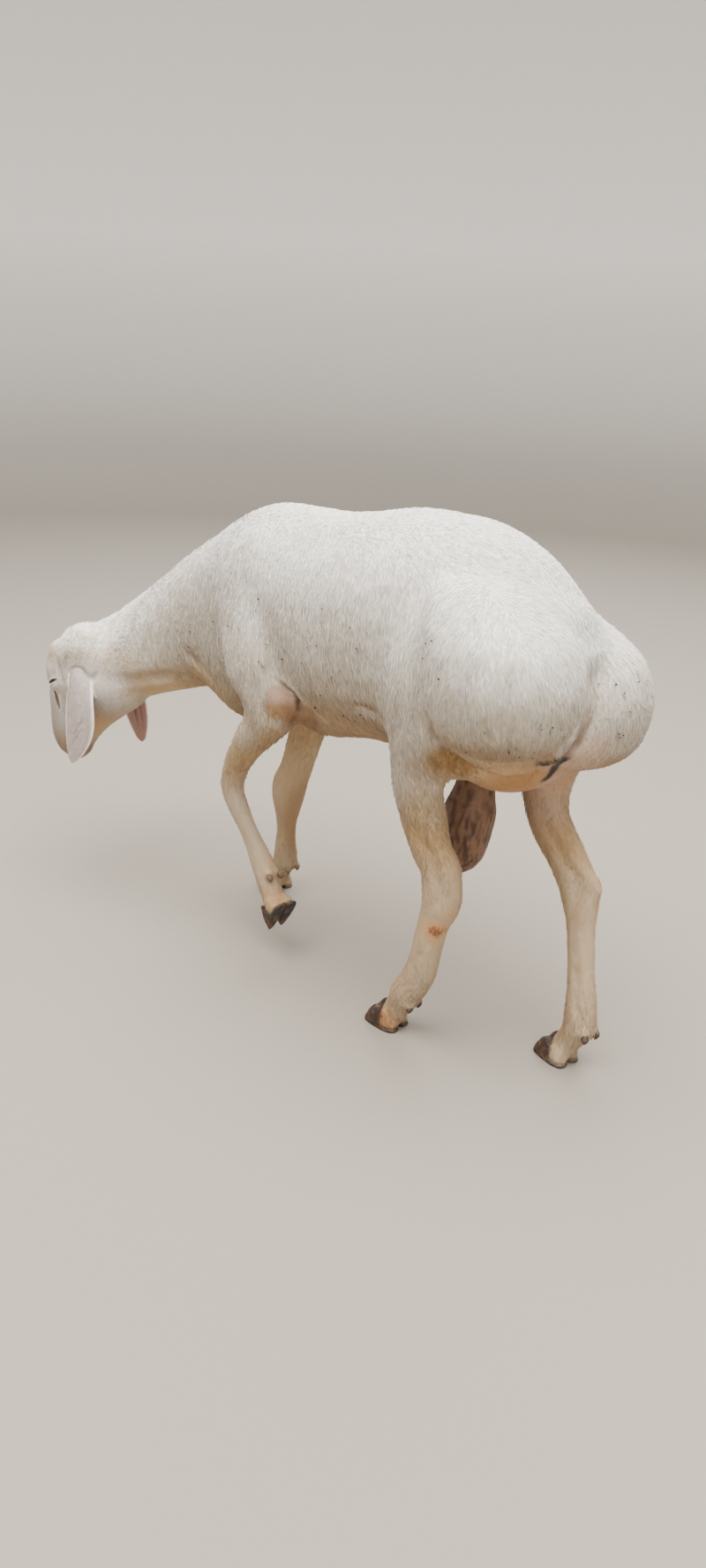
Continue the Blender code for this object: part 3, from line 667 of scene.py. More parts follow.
        # The lower sides of the muzzle are painted brown: painted shade about the mouth.
        end = in_head * ramp(down, 0.18, 0.245) * ramp(ahead, 0.06, 0.025)
        dust = ramp(ripple(points * np.array([1, 1, 0.3]), 0.034, 4.0), 0.0, 0.9)
        pale = ramp(height, 0.34, 0.46)
        layers = [
            (self.white, facing), (self.belly_tan_and_shade, 0.8 * under),
            # The lower body and legs are painted tan: their stain together with painted shade, darker the
            # lower they are.
            (self.leg, ramp(height + soft, 0.5, 0.36)),
            (self.leg_stain, 0.42 * stain), (self.leg_painted_light, 0.55 * lit_side),
            (self.face, in_head * (1 - 0.8 * crown)), (self.nose, bridge), (self.grime, 0.4 * grime),
            (self.muzzle, 0.8 * jaw), (self.lips, 0.85 * end),
            (self.dust, 0.3 * dust * ramp(height + 2 * soft, 0.7, 0.52)),
            (self.cloud, 0.35 * pale * ramp(ripple(points, 0.055, 1.0), 0.1, 0.9)),
        ]
        layers += [(mark.colour, mark.weigh(points)) for mark in self.marks + self.creases]
        layers.append((self.fleck, 0.45 * self.speck(points)))
        return paint(fill(points, self.flank), layers)


def scrotum_tint(points: Array, light: str, dark: str, share: float) -> Array:
    """Long dark blotches on a brown ground.

    Args:
        points: places in the frame.
        light: the ground's colour.
        dark: the blotches' colour.
        share: how strong they are.

    Returns:
        Linear colours, n by 3.
    """
    blot = ramp(ripple(points * np.array([1, 1, 0.35]), 0.02), -0.25, 0.5)
    return mix(fill(points, light), dark, share * blot)


# ------------ the skin
class Hide(Enum):
    """Kinds of hide, by the number that each vertex carries."""

    FLEECE = 0
    FACE = 1
    LEG = 2
    BARE = 3
    EAR = 4


FLESH = {
    "head": Hide.FACE, "neck": Hide.FLEECE, "trunk": Hide.FLEECE,
    "tail_lobe_left": Hide.FLEECE, "tail_lobe_right": Hide.FLEECE,
    **{f"leg_{leg}": Hide.LEG for leg in LEGS}, "scrotum": Hide.BARE,
}
NODES = [*FLESH, "ear_left", "ear_right"]

# Places on the head: down the face, across it from the middle line, and ahead of it.
NOSTRIL = ((0.249, 0.0235, 0.03), (0.257, 0.0185, 0.024), (0.264, 0.0115, 0.013))
MOUTH = ((0.271, 0.0, -0.006), (0.266, 0.014, -0.008), (0.248, 0.029, -0.012), (0.23, 0.034, -0.019),
         (0.214, 0.036, -0.027))
TEAR = ((0.119, 0.052, 0.02), (0.138, 0.049, 0.017), (0.166, 0.042, 0.013))


class Surface:
    """A mesh's arrays, with the sums that easing and moving it need."""

    def __init__(self, mesh: Mesh) -> None:
        """Reads places, edges and triangles."""
        self.mesh = mesh
        self.points = places_of(mesh)
        self.edges = read(mesh.edges, "vertices", 2, np.int32)
        mesh.calc_loop_triangles()
        self.triangles = read(mesh.loop_triangles, "vertices", 3, np.int32)
        self.degree = np.bincount(self.edges.ravel(), minlength=len(self.points))

    def average(self, values: Array) -> Array:
        """The mean of each vertex's neighbours, for values of one or more columns."""
        columns = values.reshape(len(values), -1)
        out = np.empty_like(columns)
        a, b = self.edges.T
        count = len(values)
        for k in range(columns.shape[1]):
            total = np.bincount(a, columns[b, k], count) + np.bincount(b, columns[a, k], count)
            out[:, k] = total / np.maximum(self.degree, 1)
        return out.reshape(values.shape)

    def ease(self, weight: Array | float, rounds: int, keep: float = 0.94) -> None:
        """Smooths the places, each pass followed by one that puts back the volume.

        Args:
            weight: 0 to 1 for each vertex, or one number.
            rounds: how many pairs of passes.
            keep: how much of each pass the second undoes; 0 lets hollows fill.
        """
        weight = np.broadcast_to(np.asarray(weight, float), (len(self.points),))[:, None]
        for _ in range(rounds):
            self.points += 0.5 * weight * (self.average(self.points) - self.points)
            self.points -= 0.5 * keep * weight * (self.average(self.points) - self.points)

    def normals(self) -> Array:
        """Outward directions at the vertices."""
        a, b, c = (self.points[self.triangles[:, k]] for k in range(3))
        faces = np.cross(b - a, c - a)
        total = np.zeros_like(self.points)
        for k in range(3):
            for axis in range(3):
                total[:, axis] += np.bincount(self.triangles[:, k], faces[:, axis], len(total))
        return unit(total)

    def push(self, height: Array) -> None:
        """Moves each vertex outwards by its height."""
        self.points += self.normals() * height[:, None]

    def carve(self, path: list, depth: float, half: float, fade: bool = True) -> None:
        """Presses a groove in along a path, or raises a ridge.

        Args:
            path: the groove's corners, on or near the surface.
            depth: how deep, or less than 0 for a ridge.
            half: half its width.
            fade: whether it dies out towards its ends.
        """
        far, share = from_path(self.points, path)
        weight = fall(far, 0.15 * half, half)
        if fade:
            weight = weight * np.sin(np.pi * np.clip(share, 0.04, 0.96)) ** 0.5
        self.push(-depth * weight)

    def swell(self, centre: Vector | Array, reach: tuple, height: float) -> None:
        """Raises a soft hill, or presses a hollow where height is less than 0.

        Args:
            centre: its middle, on or near the surface.
            reach: how far it goes along X, Y and Z.
            height: how far it stands out.
        """
        self.push(height * fall(gap(self.points, centre, reach), 0.0, 1.0))

    def write(self) -> None:
        """Puts the places back into the mesh."""
        self.mesh.vertices.foreach_set("co", self.points.astype(np.float32).ravel())
        self.mesh.update()


@dataclass
class Ear:
    """A long drooping leaf with thin edges, hollow towards the head."""

    head: Head
    side: int
    rows: int = 46
    columns: int = 26
    half_width: tuple = ((0.0, 0.015), (0.15, 0.0245), (0.4, 0.032), (0.6, 0.0325), (0.8, 0.0245),
                         (0.92, 0.015), (0.98, 0.0075), (1.0, 0.0015))
    half_thickness: tuple = ((0.0, 0.0085), (0.1, 0.006), (0.22, 0.003), (0.6, 0.0021), (1.0, 0.0011))
    curl: tuple = ((0.0, 0.15), (0.12, 0.55), (0.3, 0.34), (0.7, 0.2), (1.0, 0.1))
    left_path: tuple = ((0.066, 0.036, -0.036), (0.082, 0.06, -0.045), (0.112, 0.071, -0.052),
                        (0.175, 0.076, -0.058), (0.25, 0.073, -0.043))
    right_path: tuple = ((0.066, 0.036, -0.036), (0.083, 0.064, -0.045), (0.112, 0.082, -0.054),
                         (0.175, 0.098, -0.066), (0.25, 0.106, -0.076))
    vein_runs: tuple = ((0.5, 0.74), (0.58, 0.84))     # where each starts and ends, down the ear
    vein_depth: float = 1.1 * MM
    fold_depth: float = 1.4 * MM

    def __post_init__(self) -> None:
        """Works out the ear's middle line and the axes along it."""
        path = self.left_path if self.side < 0 else self.right_path
        corners = np.array([place[:] for place in self.head.path(path, self.side)])
        lengths = np.concatenate([[0], np.cumsum(np.linalg.norm(np.diff(corners, axis=0), axis=1))])
        self.share = np.sin(np.linspace(0, math.pi / 2, self.rows)) ** 1.15
        self.line = np.stack([curve(self.share * lengths[-1], list(zip(lengths, corners[:, k])))
                              for k in range(3)], axis=1)
        ahead = unit(np.gradient(self.line, axis=0))
        up = np.array(self.head.up)
        self.breadth = unit(up - ahead * (ahead @ up)[:, None])
        outward = np.cross(ahead, self.breadth)
        signs = np.sign(outward @ (np.array(self.head.across) * self.side))
        self.out = outward * signs[:, None]
        self.wide = curve(self.share, self.half_width)
        self.bend = curve(self.share, self.curl)

    def veins(self, down: Array, across: Array) -> list[tuple[Array, Array]]:
        """The shallow lines of the outer face.

        Args:
            down: shares of the ear's length.
            across: shares of its half width.

        Returns:
            For each line, how far off it the places lie and how strong it is there.
        """
        rows = []
        for start, end in self.vein_runs:
            lean = (down - start) / (end - start)
            far = np.abs(across + (-0.45 + 0.8 * lean) * self.side)
            rows.append((far, ramp(lean, 0, 0.3) * ramp(lean, 1, 0.7)))
        return rows

    def leaf(self, outer: bool) -> Array:
        """One face of the leaf.

        Args:
            outer: whether it is the face that looks away from the head.

        Returns:
            Its places, rows by columns by 3.
        """
        across = np.sin(np.linspace(-1, 1, self.columns) * math.pi / 2)
        t, s = np.meshgrid(self.share, across, indexing="ij")
        thick = curve(t, self.half_thickness) * np.sqrt(np.clip(1 - s ** 2, 0, 1)) ** 0.8
        lift = -(self.bend * self.wide)[:, None] * s ** 2
        lift += 0.9 * MM * np.abs(s) ** 3 * np.sin(9 * t + 2 * s) * ramp(t, 0.1, 0.4)
        if outer:
            for far, within in self.veins(t, s):
                lift -= self.vein_depth * np.exp(-(far / 0.06) ** 2) * within
        else:
            fold = np.exp(-((s - 0.15) / 0.13) ** 2) + 0.7 * np.exp(-((s + 0.35) / 0.11) ** 2)
            lift -= self.fold_depth * fold * ramp(t, 0.02, 0.2) * ramp(t, 0.95, 0.55)
        lift += thick if outer else -thick
        return (self.line[:, None] + self.breadth[:, None] * (self.wide[:, None] * s)[..., None]
                + self.out[:, None] * lift[..., None])

    def mesh(self) -> Mesh:
        """The closed leaf."""
        outer, inner = self.leaf(True), self.leaf(False)
        rings = np.concatenate([outer, inner[:, -2:0:-1]], axis=1)
        bm = bmesh.new()
        rows = [[bm.verts.new(p) for p in ring] for ring in rings]
        for a, b in zip(rows, rows[1:]):
            band(bm, a, b)
        for ring in (rows[0], rows[-1]):
            centre = bm.verts.new(sum((v.co for v in ring), Vector()) / len(ring))
            for k in range(len(ring)):
                bm.faces.new((ring[k], ring[(k + 1) % len(ring)], centre))
        bmesh.ops.recalc_face_normals(bm, faces=bm.faces)
        return mesh_from_bmesh("ear", bm)

    def local(self, points: Array) -> tuple[Array, Array, Array]:
        """Where points lie in the ear: share down it, share across it, and metres outwards."""
        far = np.linalg.norm(points[:, None] - self.line[None], axis=2)
        row = far.argmin(axis=1)
        off = points - self.line[row]
        across = np.sum(off * self.breadth[row], axis=1) / self.wide[row]
        out = np.sum(off * self.out[row], axis=1) + self.bend[row] * self.wide[row] * across ** 2
        return self.share[row], across, out


@dataclass(frozen=True)
class Form:
    """A soft form of the face: a hill where it has one place, a ridge or groove where it has more."""

    places: tuple
    reach: float                   # a hill's radius, or half the width of a groove
    height: float                  # less than 0 for a groove
    fade: bool = True              # whether a groove dies out towards its ends


@dataclass
class Skin:
    """The one skin over all the flesh, below the coat by part of the coat's depth."""

    head: Head
    markings: Markings
    voxel: float = 7 * MM
    grow: float = 0.6 * MM             # closes the thin cuts between the solids
    lid: float = 2.2 * MM              # thickness of the lids over the eyeball
    slit: tuple = (8.8 * MM, 3.4 * MM, 2.6 * MM)    # half length, height above and below
    fleece: float = 12.5 * MM          # length of the fleece on the body
    ear_hair: float = 2.0 * MM
    scrotum_hair: float = 5.0 * MM
    # Length of the hair in mm: on the legs by height, and on the head by the way down from the poll.
    leg_hair: tuple = ((0.0, 6.0), (0.1, 8.0), (0.15, 5.5), (0.33, 7.5), (0.46, 12.5))
    face_hair: tuple = ((-0.05, 12.5), (0.03, 11.5), (0.08, 9.0), (0.13, 6.2), (0.25, 3.6))
    sunk: float = 0.42                 # share of the coat's length by which the skin lies lower
    # Grooves between bone and tendon: lowest, highest, how far back, and depth.
    leg_grooves: tuple = (("front", 0.29, 0.42, 0.25, 2.5 * MM), ("front", 0.09, 0.26, 0.1, 1.8 * MM),
                          ("hind", 0.24, 0.42, 0.34, 4.5 * MM), ("hind", 0.07, 0.23, 0.15, 2.4 * MM))
    lifted: float = 0.06               # how much higher the lifted foot's joints are
    brow_and_cheek: tuple[Form, ...] = (
        # brow, temple and the hollow behind them
        Form(((0.088, 0.05, 0.036),), 0.022, 3.5 * MM),
        Form(((0.045, 0.034, 0.036),), 0.026, 5 * MM),
        Form(((0.03, 0.052, 0.02), (0.058, 0.058, 0.012), (0.1, 0.058, -0.004)), 8 * MM, -9.0 * MM),
        # cheek, the ear's foot, and the hollow behind the jaw
        Form(((0.105, 0.056, -0.085),), 0.045, 5 * MM),
        Form(((0.03, 0.052, -0.03),), 0.035, 4 * MM),
        Form(((0.125, 0.056, -0.052), (0.09, 0.06, -0.066), (0.062, 0.058, -0.092),
              (0.058, 0.056, -0.15)), 11 * MM, -7 * MM),
        # the ridge of the cheekbone, the hollow below it, and the tear gland's groove and rim
        Form(((0.14, 0.052, -0.012), (0.175, 0.044, -0.01), (0.205, 0.038, -0.01)), 10 * MM, 2.2 * MM),
        Form(((0.15, 0.048, -0.042), (0.2, 0.038, -0.034)), 15 * MM, -4.0 * MM),
        Form(((0.119, 0.054, 0.02), (0.14, 0.05, 0.017), (0.166, 0.044, 0.013)), 7.5 * MM, -3.6 * MM),
        Form(((0.124, 0.049, 0.03), (0.166, 0.042, 0.025)), 5 * MM, 1.2 * MM),
    )
    nose_and_lips: tuple[Form, ...] = (
        Form(NOSTRIL, 9 * MM, 1.8 * MM), Form(NOSTRIL, 4.2 * MM, -7.0 * MM),
        Form(MOUTH, 7 * MM, 1.2 * MM, False), Form(MOUTH, 3.2 * MM, -4.5 * MM, False),
    )

    def __post_init__(self) -> None:
        """Makes the ears' lines and the legs' lines."""
        self.ears = {side: Ear(self.head, sign) for sign, side in SIDES}
        self.lines = {leg: LegLine(f"leg_{leg}") for leg in LEGS}

    def build(self) -> Object:
        """Makes the skin from copies of the flesh.

        Returns:
            The skin's object.
        """
        self.obj = self.fused()
        self.refine(self.obj)
        surface = Surface(self.obj.data)
        kinds = self.kinds(surface.points)
        surface.ease(1.0, 5)
        self.ease_folds(surface)
        self.shape_legs(surface)
        self.shape_body(surface)
        depth = self.coat_depth(surface, kinds)
        surface.push(-depth)
        surface.ease(0.5, 2)
        self.shape_head(surface)
        surface.write()
        for ear in self.ears.values():
            boolean(self.obj, add_object("ear", ear.mesh()), "UNION")
        surface = Surface(self.obj.data)
        surface.ease(self.near_ear_roots(surface.points), 6, 0.5)
        surface.write()
        for sign, _ in SIDES:
            boolean(self.obj, add_object("slit", self.slit_mesh(sign)), "DIFFERENCE")
        self.obj.data.shade_smooth()
        return self.obj

    def fused(self) -> Object:
        """Copies of the flesh, grown a little, fused into one closed surface."""
        flesh = [merged_copy(node) for node in FLESH]
        for v in (v for part in flesh for v in part.verts):
            v.co += v.normal * self.grow
        bm = bmesh.new()
        for part in flesh + [self.bulb(f"claw_{foot}") for foot in FEET]:
            mesh = mesh_from_bmesh("part", part)
            bm.from_mesh(mesh)
            bpy.data.meshes.remove(mesh)
        socket = self.head.eye_radius + 4 * MM
        for side, _ in SIDES:
            bmesh.ops.create_uvsphere(bm, u_segments=24, v_segments=16, radius=socket,
                                      matrix=Matrix.Translation(self.head.eye(side)))
        body = add_object("skin", mesh_from_bmesh("skin", bm))
        remesh = body.modifiers.new("fuse", "REMESH")
        remesh.mode, remesh.voxel_size = "VOXEL", self.voxel
        apply_modifiers(body)
        return body

    @staticmethod
    def bulb(node: str) -> BMesh:
        """The back of a claw above its sole, which is hairy skin and not horn.

        Args:
            node: the claw's node.

        Returns:
            A closed shape, a little larger than that part of the claw.
        """
        up, ahead = claw_axes(node)
        bm = merged_copy(node)
        points = np.array([v.co[:] for v in bm.verts])
        reach, height = points @ ahead, points @ up
        back = points.mean(axis=0)
        back += ahead * (reach.min() + 0.46 * np.ptp(reach) - back @ ahead)
        low = points.mean(axis=0)
        low += up * (height.min() + 5 * MM - low @ up)
        for place, way in ((back, ahead), (low, -up)):
            bmesh.ops.bisect_plane(bm, geom=bm.verts[:] + bm.edges[:] + bm.faces[:], plane_co=place,
                                   plane_no=way, clear_outer=True)
            bmesh.ops.holes_fill(bm, edges=bm.edges, sides=0)
        bm.normal_update()
        for v in bm.verts:
            v.co += v.normal * 2.6 * MM
        return bm

    def refine(self, body: Object) -> None:
        """Splits the faces of head, legs and armpits, and once more about eyes and muzzle."""
        bm = bmesh.new()
        bm.from_mesh(body.data)

        def split(choose: Callable) -> None:
            """Halves the edges whose two ends are chosen."""
            bm.verts.index_update()
            inside = choose(np.array([v.co[:] for v in bm.verts]))
            edges = [e for e in bm.edges if inside[e.verts[0].index] and inside[e.verts[1].index]]
            bmesh.ops.subdivide_edges(bm, edges=edges, cuts=1, use_grid_fill=True)

        _, high = box_of("head")
        split(lambda p: (p[:, 0] < high[0] - 0.01) & (p[:, 2] < high[2] + 0.02))
        left, right = (self.head.eye(side) for side, _ in SIDES)
        split(lambda p: (gap(p, left) < 0.036) | (gap(p, right) < 0.036)
              | (self.head.local(p)[:, 0] > 0.2) & (p[:, 0] < high[0]))
        armpit = share_of("trunk", 0.47, 0.13, 0.26)
        cleft = share_of("trunk", 1.02, 0.5, 0.3)
        split(lambda p: ((p[:, 2] < 0.37) & (p[:, 0] > high[0])) | (gap(p, armpit) < 0.06)
              | (gap(p, cleft) < 0.06))
        split(lambda p: gap(p, armpit) < 0.034)
        bm.to_mesh(body.data)
        bm.free()

    def kinds(self, points: Array) -> Array:
        """The kind of hide at each point, from the nearest solid of flesh."""
        corners, faces, kind = [], [], []
        for node in NODES:
            mesh = bpy.data.objects[node].data
            start = len(corners)
            corners += [v.co[:] for v in mesh.vertices]
            faces += [[start + k for k in p.vertices] for p in mesh.polygons]
            kind += [FLESH.get(node, Hide.EAR).value] * len(mesh.polygons)
        tree = BVHTree.FromPolygons(corners, faces)
        return np.array([kind[tree.find_nearest(p)[2]] for p in points.tolist()])

    @staticmethod
    def ease_folds(surface: Surface) -> None:
        """Softens the creases where the tail's cushions meet rump and haunch."""
        for node, share, reach in (("tail_lobe_left", (0.1, 0.25, 0.72), (0.1, 0.13, 0.15)),
                                   ("tail_lobe_right", (0.1, 0.75, 0.72), (0.1, 0.13, 0.15)),
                                   ("tail_lobe_left", (0.35, 0.95, 0.95), (0.13, 0.1, 0.08))):
            far = gap(surface.points, share_of(node, *share), reach)
            surface.ease(fall(far, 0.5, 1.0), 16, 0.55)

    def shape_legs(self, surface: Surface) -> None:
        """Sinks the grooves between bones and tendons."""
        for leg, line in self.lines.items():
            back, right = line.local(surface.points)
            inside = ramp(np.maximum(np.abs(back), np.abs(right)), 1.5, 1.2)
            raised = self.lifted if leg == "front_left" else 0.0
            for end, low, high, at, depth in self.leg_grooves:
                if not leg.startswith(end):
                    continue
                z = surface.points[:, 2]
                window = ramp(z, low + raised, low + raised + 0.05) * ramp(z, high, high - 0.08)
                weight = np.exp(-((back - at) / 0.26) ** 2) * ramp(np.abs(right), 0.45, 0.8)
                surface.push(-(depth * weight * window * inside))

    def shape_body(self, surface: Surface) -> None:
        """Folds of loose skin, the elbow's flap, a scab, and the clefts between the heels."""
        surface.swell(share_of("trunk", 0.455, 0.115, 0.275), (0.04, 0.04, 0.042), 9 * MM)
        surface.swell(share_of("trunk", 0.5, 0.26, 0.15), (0.11, 0.07, 0.06), 16 * MM)
        for crease in self.markings.creases:
            surface.carve(crease.path(), crease.depth, crease.half)
        surface.swell(share_of("leg_hind_left", 0.664, 0.402, 0.44), (0.018, 0.018, 0.014), 3 * MM)
        for leg in LEGS:
            for _, side in SIDES:
                top = middle_of(f"dewclaw_{leg}_{side}") + Vector((0, 0, 6 * MM))
                surface.swell(top, (0.018, 0.018, 0.016), 7 * MM)
            feet = [middle_of(f"claw_{leg}_{side}") for _, side in SIDES]
            up, ahead = claw_axes(f"claw_{leg}_left")
            heel = (np.array(feet[0]) + np.array(feet[1])) / 2 - ahead * 0.026
            surface.carve([heel - up * 0.016, heel + up * 0.02], 6 * MM, 7 * MM)

    def shape_head(self, surface: Surface) -> None:
        """Brows, lids, tear glands, cheeks, nostrils and lips."""
        for side, _ in SIDES:
            for forms in (self.brow_and_cheek, self.nose_and_lips):
                for form in forms:
                    path = self.head.path(form.places, side)
                    if len(path) == 1:
                        surface.swell(path[0], (form.reach,) * 3, form.height)
                    else:
                        surface.carve(path, -form.height, form.reach, form.fade)
                if forms is self.brow_and_cheek:
                    self.lids(surface, side)
        at = self.head.place
        surface.carve([at(0.262, 0, 0.022), at(0.27, 0, 0.006), at(0.272, 0, -0.004)], 2.5 * MM, 3.5 * MM,
                      fade=False)
        surface.swell(at(0.255, 0, -0.028), (0.02, 0.022, 0.02), 2.5 * MM)
        surface.swell(at(0.066, 0, 0.062), (0.032, 0.045, 0.03), 5 * MM)
        surface.carve([at(0.128, -0.035, 0.052), at(0.126, 0, 0.06), at(0.128, 0.035, 0.052)],
                      3.5 * MM, 18 * MM)
        for place, height in (((0.01, -0.02, 0.02), 4), ((0.03, 0.022, 0.035), 3), ((-0.01, 0.01, 0), 4)):
            surface.swell(at(*place), (0.02, 0.02, 0.02), height * MM)

    def lids(self, surface: Surface, side: int) -> None:
        """Keeps the lids outside the eyeball, and creases them above and below the slit.

        Args:
            surface: the skin.
            side: -1 for the left eye, 1 for the right.
        """
        centre = np.array(self.head.eye(side))
        off = surface.points - centre
        far = np.linalg.norm(off, axis=1)
        least = self.head.eye_radius + self.lid
        _, _, out = self.eye_axes(side)
        near = (far < least) & (off @ np.array(out) > 0)
        surface.points[near] = centre + off[near] * (least / far[near])[:, None]
        for height, drop in ((8.5 * MM, 1.1 * MM), (-7.5 * MM, 0.8 * MM)):
            crease = [self.on_lid(side, x * self.slit[0] * 1.15, height * (1 - 0.45 * x * x), least)
                      for x in np.linspace(-1, 1, 9)]
            surface.carve(crease, drop, 2.6 * MM)

    def eye_axes(self, side: int) -> tuple[Vector, Vector, Vector]:
        """The slit's long way towards the nose, its short way upwards, and the gaze."""
        out = self.head.direction(-0.36, side * 0.91, 0.2).normalized()
        long = self.head.direction(0.55, 0.0, 0.83)
        long = (long - out * long.dot(out)).normalized()
        short = out.cross(long)
        if short.dot(self.head.up) < 0:
            short = -short
        return long, short, out

    def on_lid(self, side: int, x: float, y: float, radius: float) -> Vector:
        """A place on a sphere about the eye.

        Args:
            side: -1 for the left eye, 1 for the right.
            x: how far along the slit it is, towards the nose.
            y: how far above the slit it is.
            radius: of the sphere.

        Returns:
            The place.
        """
        long, short, out = self.eye_axes(side)
        depth = math.sqrt(max(radius ** 2 - x ** 2 - y ** 2, 0.0))
        return self.head.eye(side) + long * x + short * y + out * depth

    def slit_edge(self, count: int = 40) -> list[tuple[float, float]]:
        """The slit's almond outline.

        Args:
            count: how many places it has.

        Returns:
            For each, how far along and above the slit's middle it is.
        """
        half, above, below = self.slit
        edge = []
        for t in np.linspace(0, 2 * math.pi, count, endpoint=False):
            x, y = math.cos(t), math.sin(t)
            edge.append((half * x, (above if y > 0 else below) * y * abs(y) ** 0.15))
        return edge

    def slit_mesh(self, side: int) -> Mesh:
        """The wedge that is cut out between the lids."""
        long, short, out = self.eye_axes(side)
        bm = bmesh.new()
        rings = []
        for depth, spread in ((4 * MM, 0.92), (30 * MM, 1.15)):
            middle = self.head.eye(side) + out * depth
            rings.append([bm.verts.new(middle + long * x * spread + short * y * spread)
                          for x, y in self.slit_edge()])
        band(bm, *rings)
        for ring in rings:
            bm.faces.new(ring)
        bmesh.ops.recalc_face_normals(bm, faces=bm.faces)
        return mesh_from_bmesh("slit", bm)

    def near_ear_roots(self, points: Array) -> Array:
        """How near each point is to the foot of an ear, from 0 to 1."""
        weight = np.zeros(len(points))
        for side, _ in SIDES:
            foot = self.head.place(0.078, side * 0.056, -0.042)
            weight = np.maximum(weight, fall(gap(points, foot), 0.012, 0.03))
        return weight

    def measure(self, points: Array, kinds: Array) -> Array:
        """The coat's length: long on the body, short on face and legs.

        Args:
            points: places on the skin.
            kinds: the kind of hide at each.

        Returns:
            The length at each.
        """
        height = points[:, 2]
        length = np.full(len(points), self.fleece)
        throat = ramp(points[:, 0], -0.22, -0.3) * ramp(height, 0.5, 0.4)
        length -= 7.5 * MM * throat
        leg = kinds == Hide.LEG.value
        length[leg] = curve(height[leg], self.leg_hair) * MM
        for foot in FEET:
            low, high = box_of(f"claw_{foot}")
            off = np.linalg.norm(np.maximum(np.maximum(low - points, points - high), 0), axis=1)
            length = np.maximum(length, 7.5 * MM * leg * ramp(off, 7 * MM, 1 * MM))
            off = gap(points, middle_of(f"dewclaw_{foot}"))
            length = np.maximum(length, 12.0 * MM * leg * ramp(off, 26 * MM, 10 * MM))
        face = kinds == Hide.FACE.value
        nearby = curve(self.head.local(points[face])[:, 0], self.face_hair) * MM
        length[face] = np.minimum(length[face], nearby)
        for mark in self.markings.marks:
            if mark.bare:
                length *= 1 - mark.bare * mark.weigh(points) / mark.strength
        for crease in self.markings.creases:
            if crease.strength > 0.5:
                length *= 1 - 0.7 * crease.weigh(points) / crease.strength
                if crease.half < 9 * MM:
                    far, _ = from_path(points, crease.path())
                    length *= 1 - 0.72 * ramp(far, crease.half + 8 * MM, crease.half)
        length[kinds == Hide.BARE.value] = self.scrotum_hair
        length[kinds == Hide.EAR.value] = self.ear_hair
        return length

    def coat_depth(self, surface: Surface, kinds: Array) -> Array:
        """How far the coat stands above the skin at each vertex."""
        depth = self.measure(surface.points, kinds) * self.sunk
        for _ in range(14):
            depth = surface.average(depth)
        return depth

    def colour(self, surface: Surface, kinds: Array) -> Array:
        """The skin's colour, bare places included, with painted light and shade.

        Args:
            surface: the skin.
            kinds: the kind of hide at each vertex.

        Returns:
            A linear colour for each vertex.
        """
        points, normals = surface.points, surface.normals()
        colours = self.markings.tint(points, normals)
        colours[kinds != Hide.EAR.value] *= 0.93        # the coat's roots lie in its own shade
        scrotum = kinds == Hide.BARE.value
        colours[scrotum] = scrotum_tint(points[scrotum], "#7F604B", "#33241B", 0.75)
        for sign, side in SIDES:
            self.colour_ear(colours, points, side)
            self.colour_eye(colours, points, sign)
            nostril, _ = from_path(points, self.head.path(NOSTRIL[::2], sign))
            mouth, _ = from_path(points, self.head.path(MOUTH, sign))
            # Nostrils and the mouth's line are painted near black: painted shade in their openings.
            colours = paint(colours, [("#2B1D17", 0.95 * fall(nostril, 1.8 * MM, 5.5 * MM)),
                                      ("#3A2820", 0.9 * fall(mouth, 1.0 * MM, 4.5 * MM))])
        return colours

    def colour_ear(self, colours: Array, points: Array, side: str) -> None:
        """Pinkish white outside, pink inside, with dark fold lines and painted shade towards the base.

        Args:
            colours: the skin's colours, changed in place.
            points: the skin's vertices.
            side: left or right.
        """
        ear = self.ears[side]
        near = np.where(in_box(points, f"ear_{side}", 0.01))[0]
        down, across, out = ear.local(points[near])
        inside = (np.abs(out) < 9 * MM) & (np.abs(across) < 1.08) & (down > 0.09)
        near, down, across, out = near[inside], down[inside], across[inside], out[inside]
        inner = ramp(out, 0.2 * MM, -0.6 * MM)
        fold = np.exp(-((across - 0.15) / 0.12) ** 2) + 0.8 * np.exp(-((across + 0.35) / 0.1) ** 2)
        veins = [("#6F5A55", 0.6 * np.exp(-(far / 0.05) ** 2) * within * (1 - inner))
                 for far, within in ear.veins(down, across)]
        colours[near] = paint(fill(near, "#AA9F9B"), [
            ("#B3A3A1", 0.55 * ramp(down, 0.35, 0.85) * ramp(across, 0.9, -0.3)),
            ("#CDBBB6", 0.6 * ramp(ripple(points[near], 0.022), 0.0, 0.8)),
            ("#A27D75", inner),
            # Dark brown along the inner folds, strongest towards the base: the folds' own dark lines with
            # painted shade in the hollow.
            ("#4E2B25", np.clip(inner * fold, 0, 1) * 0.85 * ramp(down, 0.95, 0.6)),
            *veins, ("#F2EAE4", ramp(np.abs(across), 0.8, 0.97))])

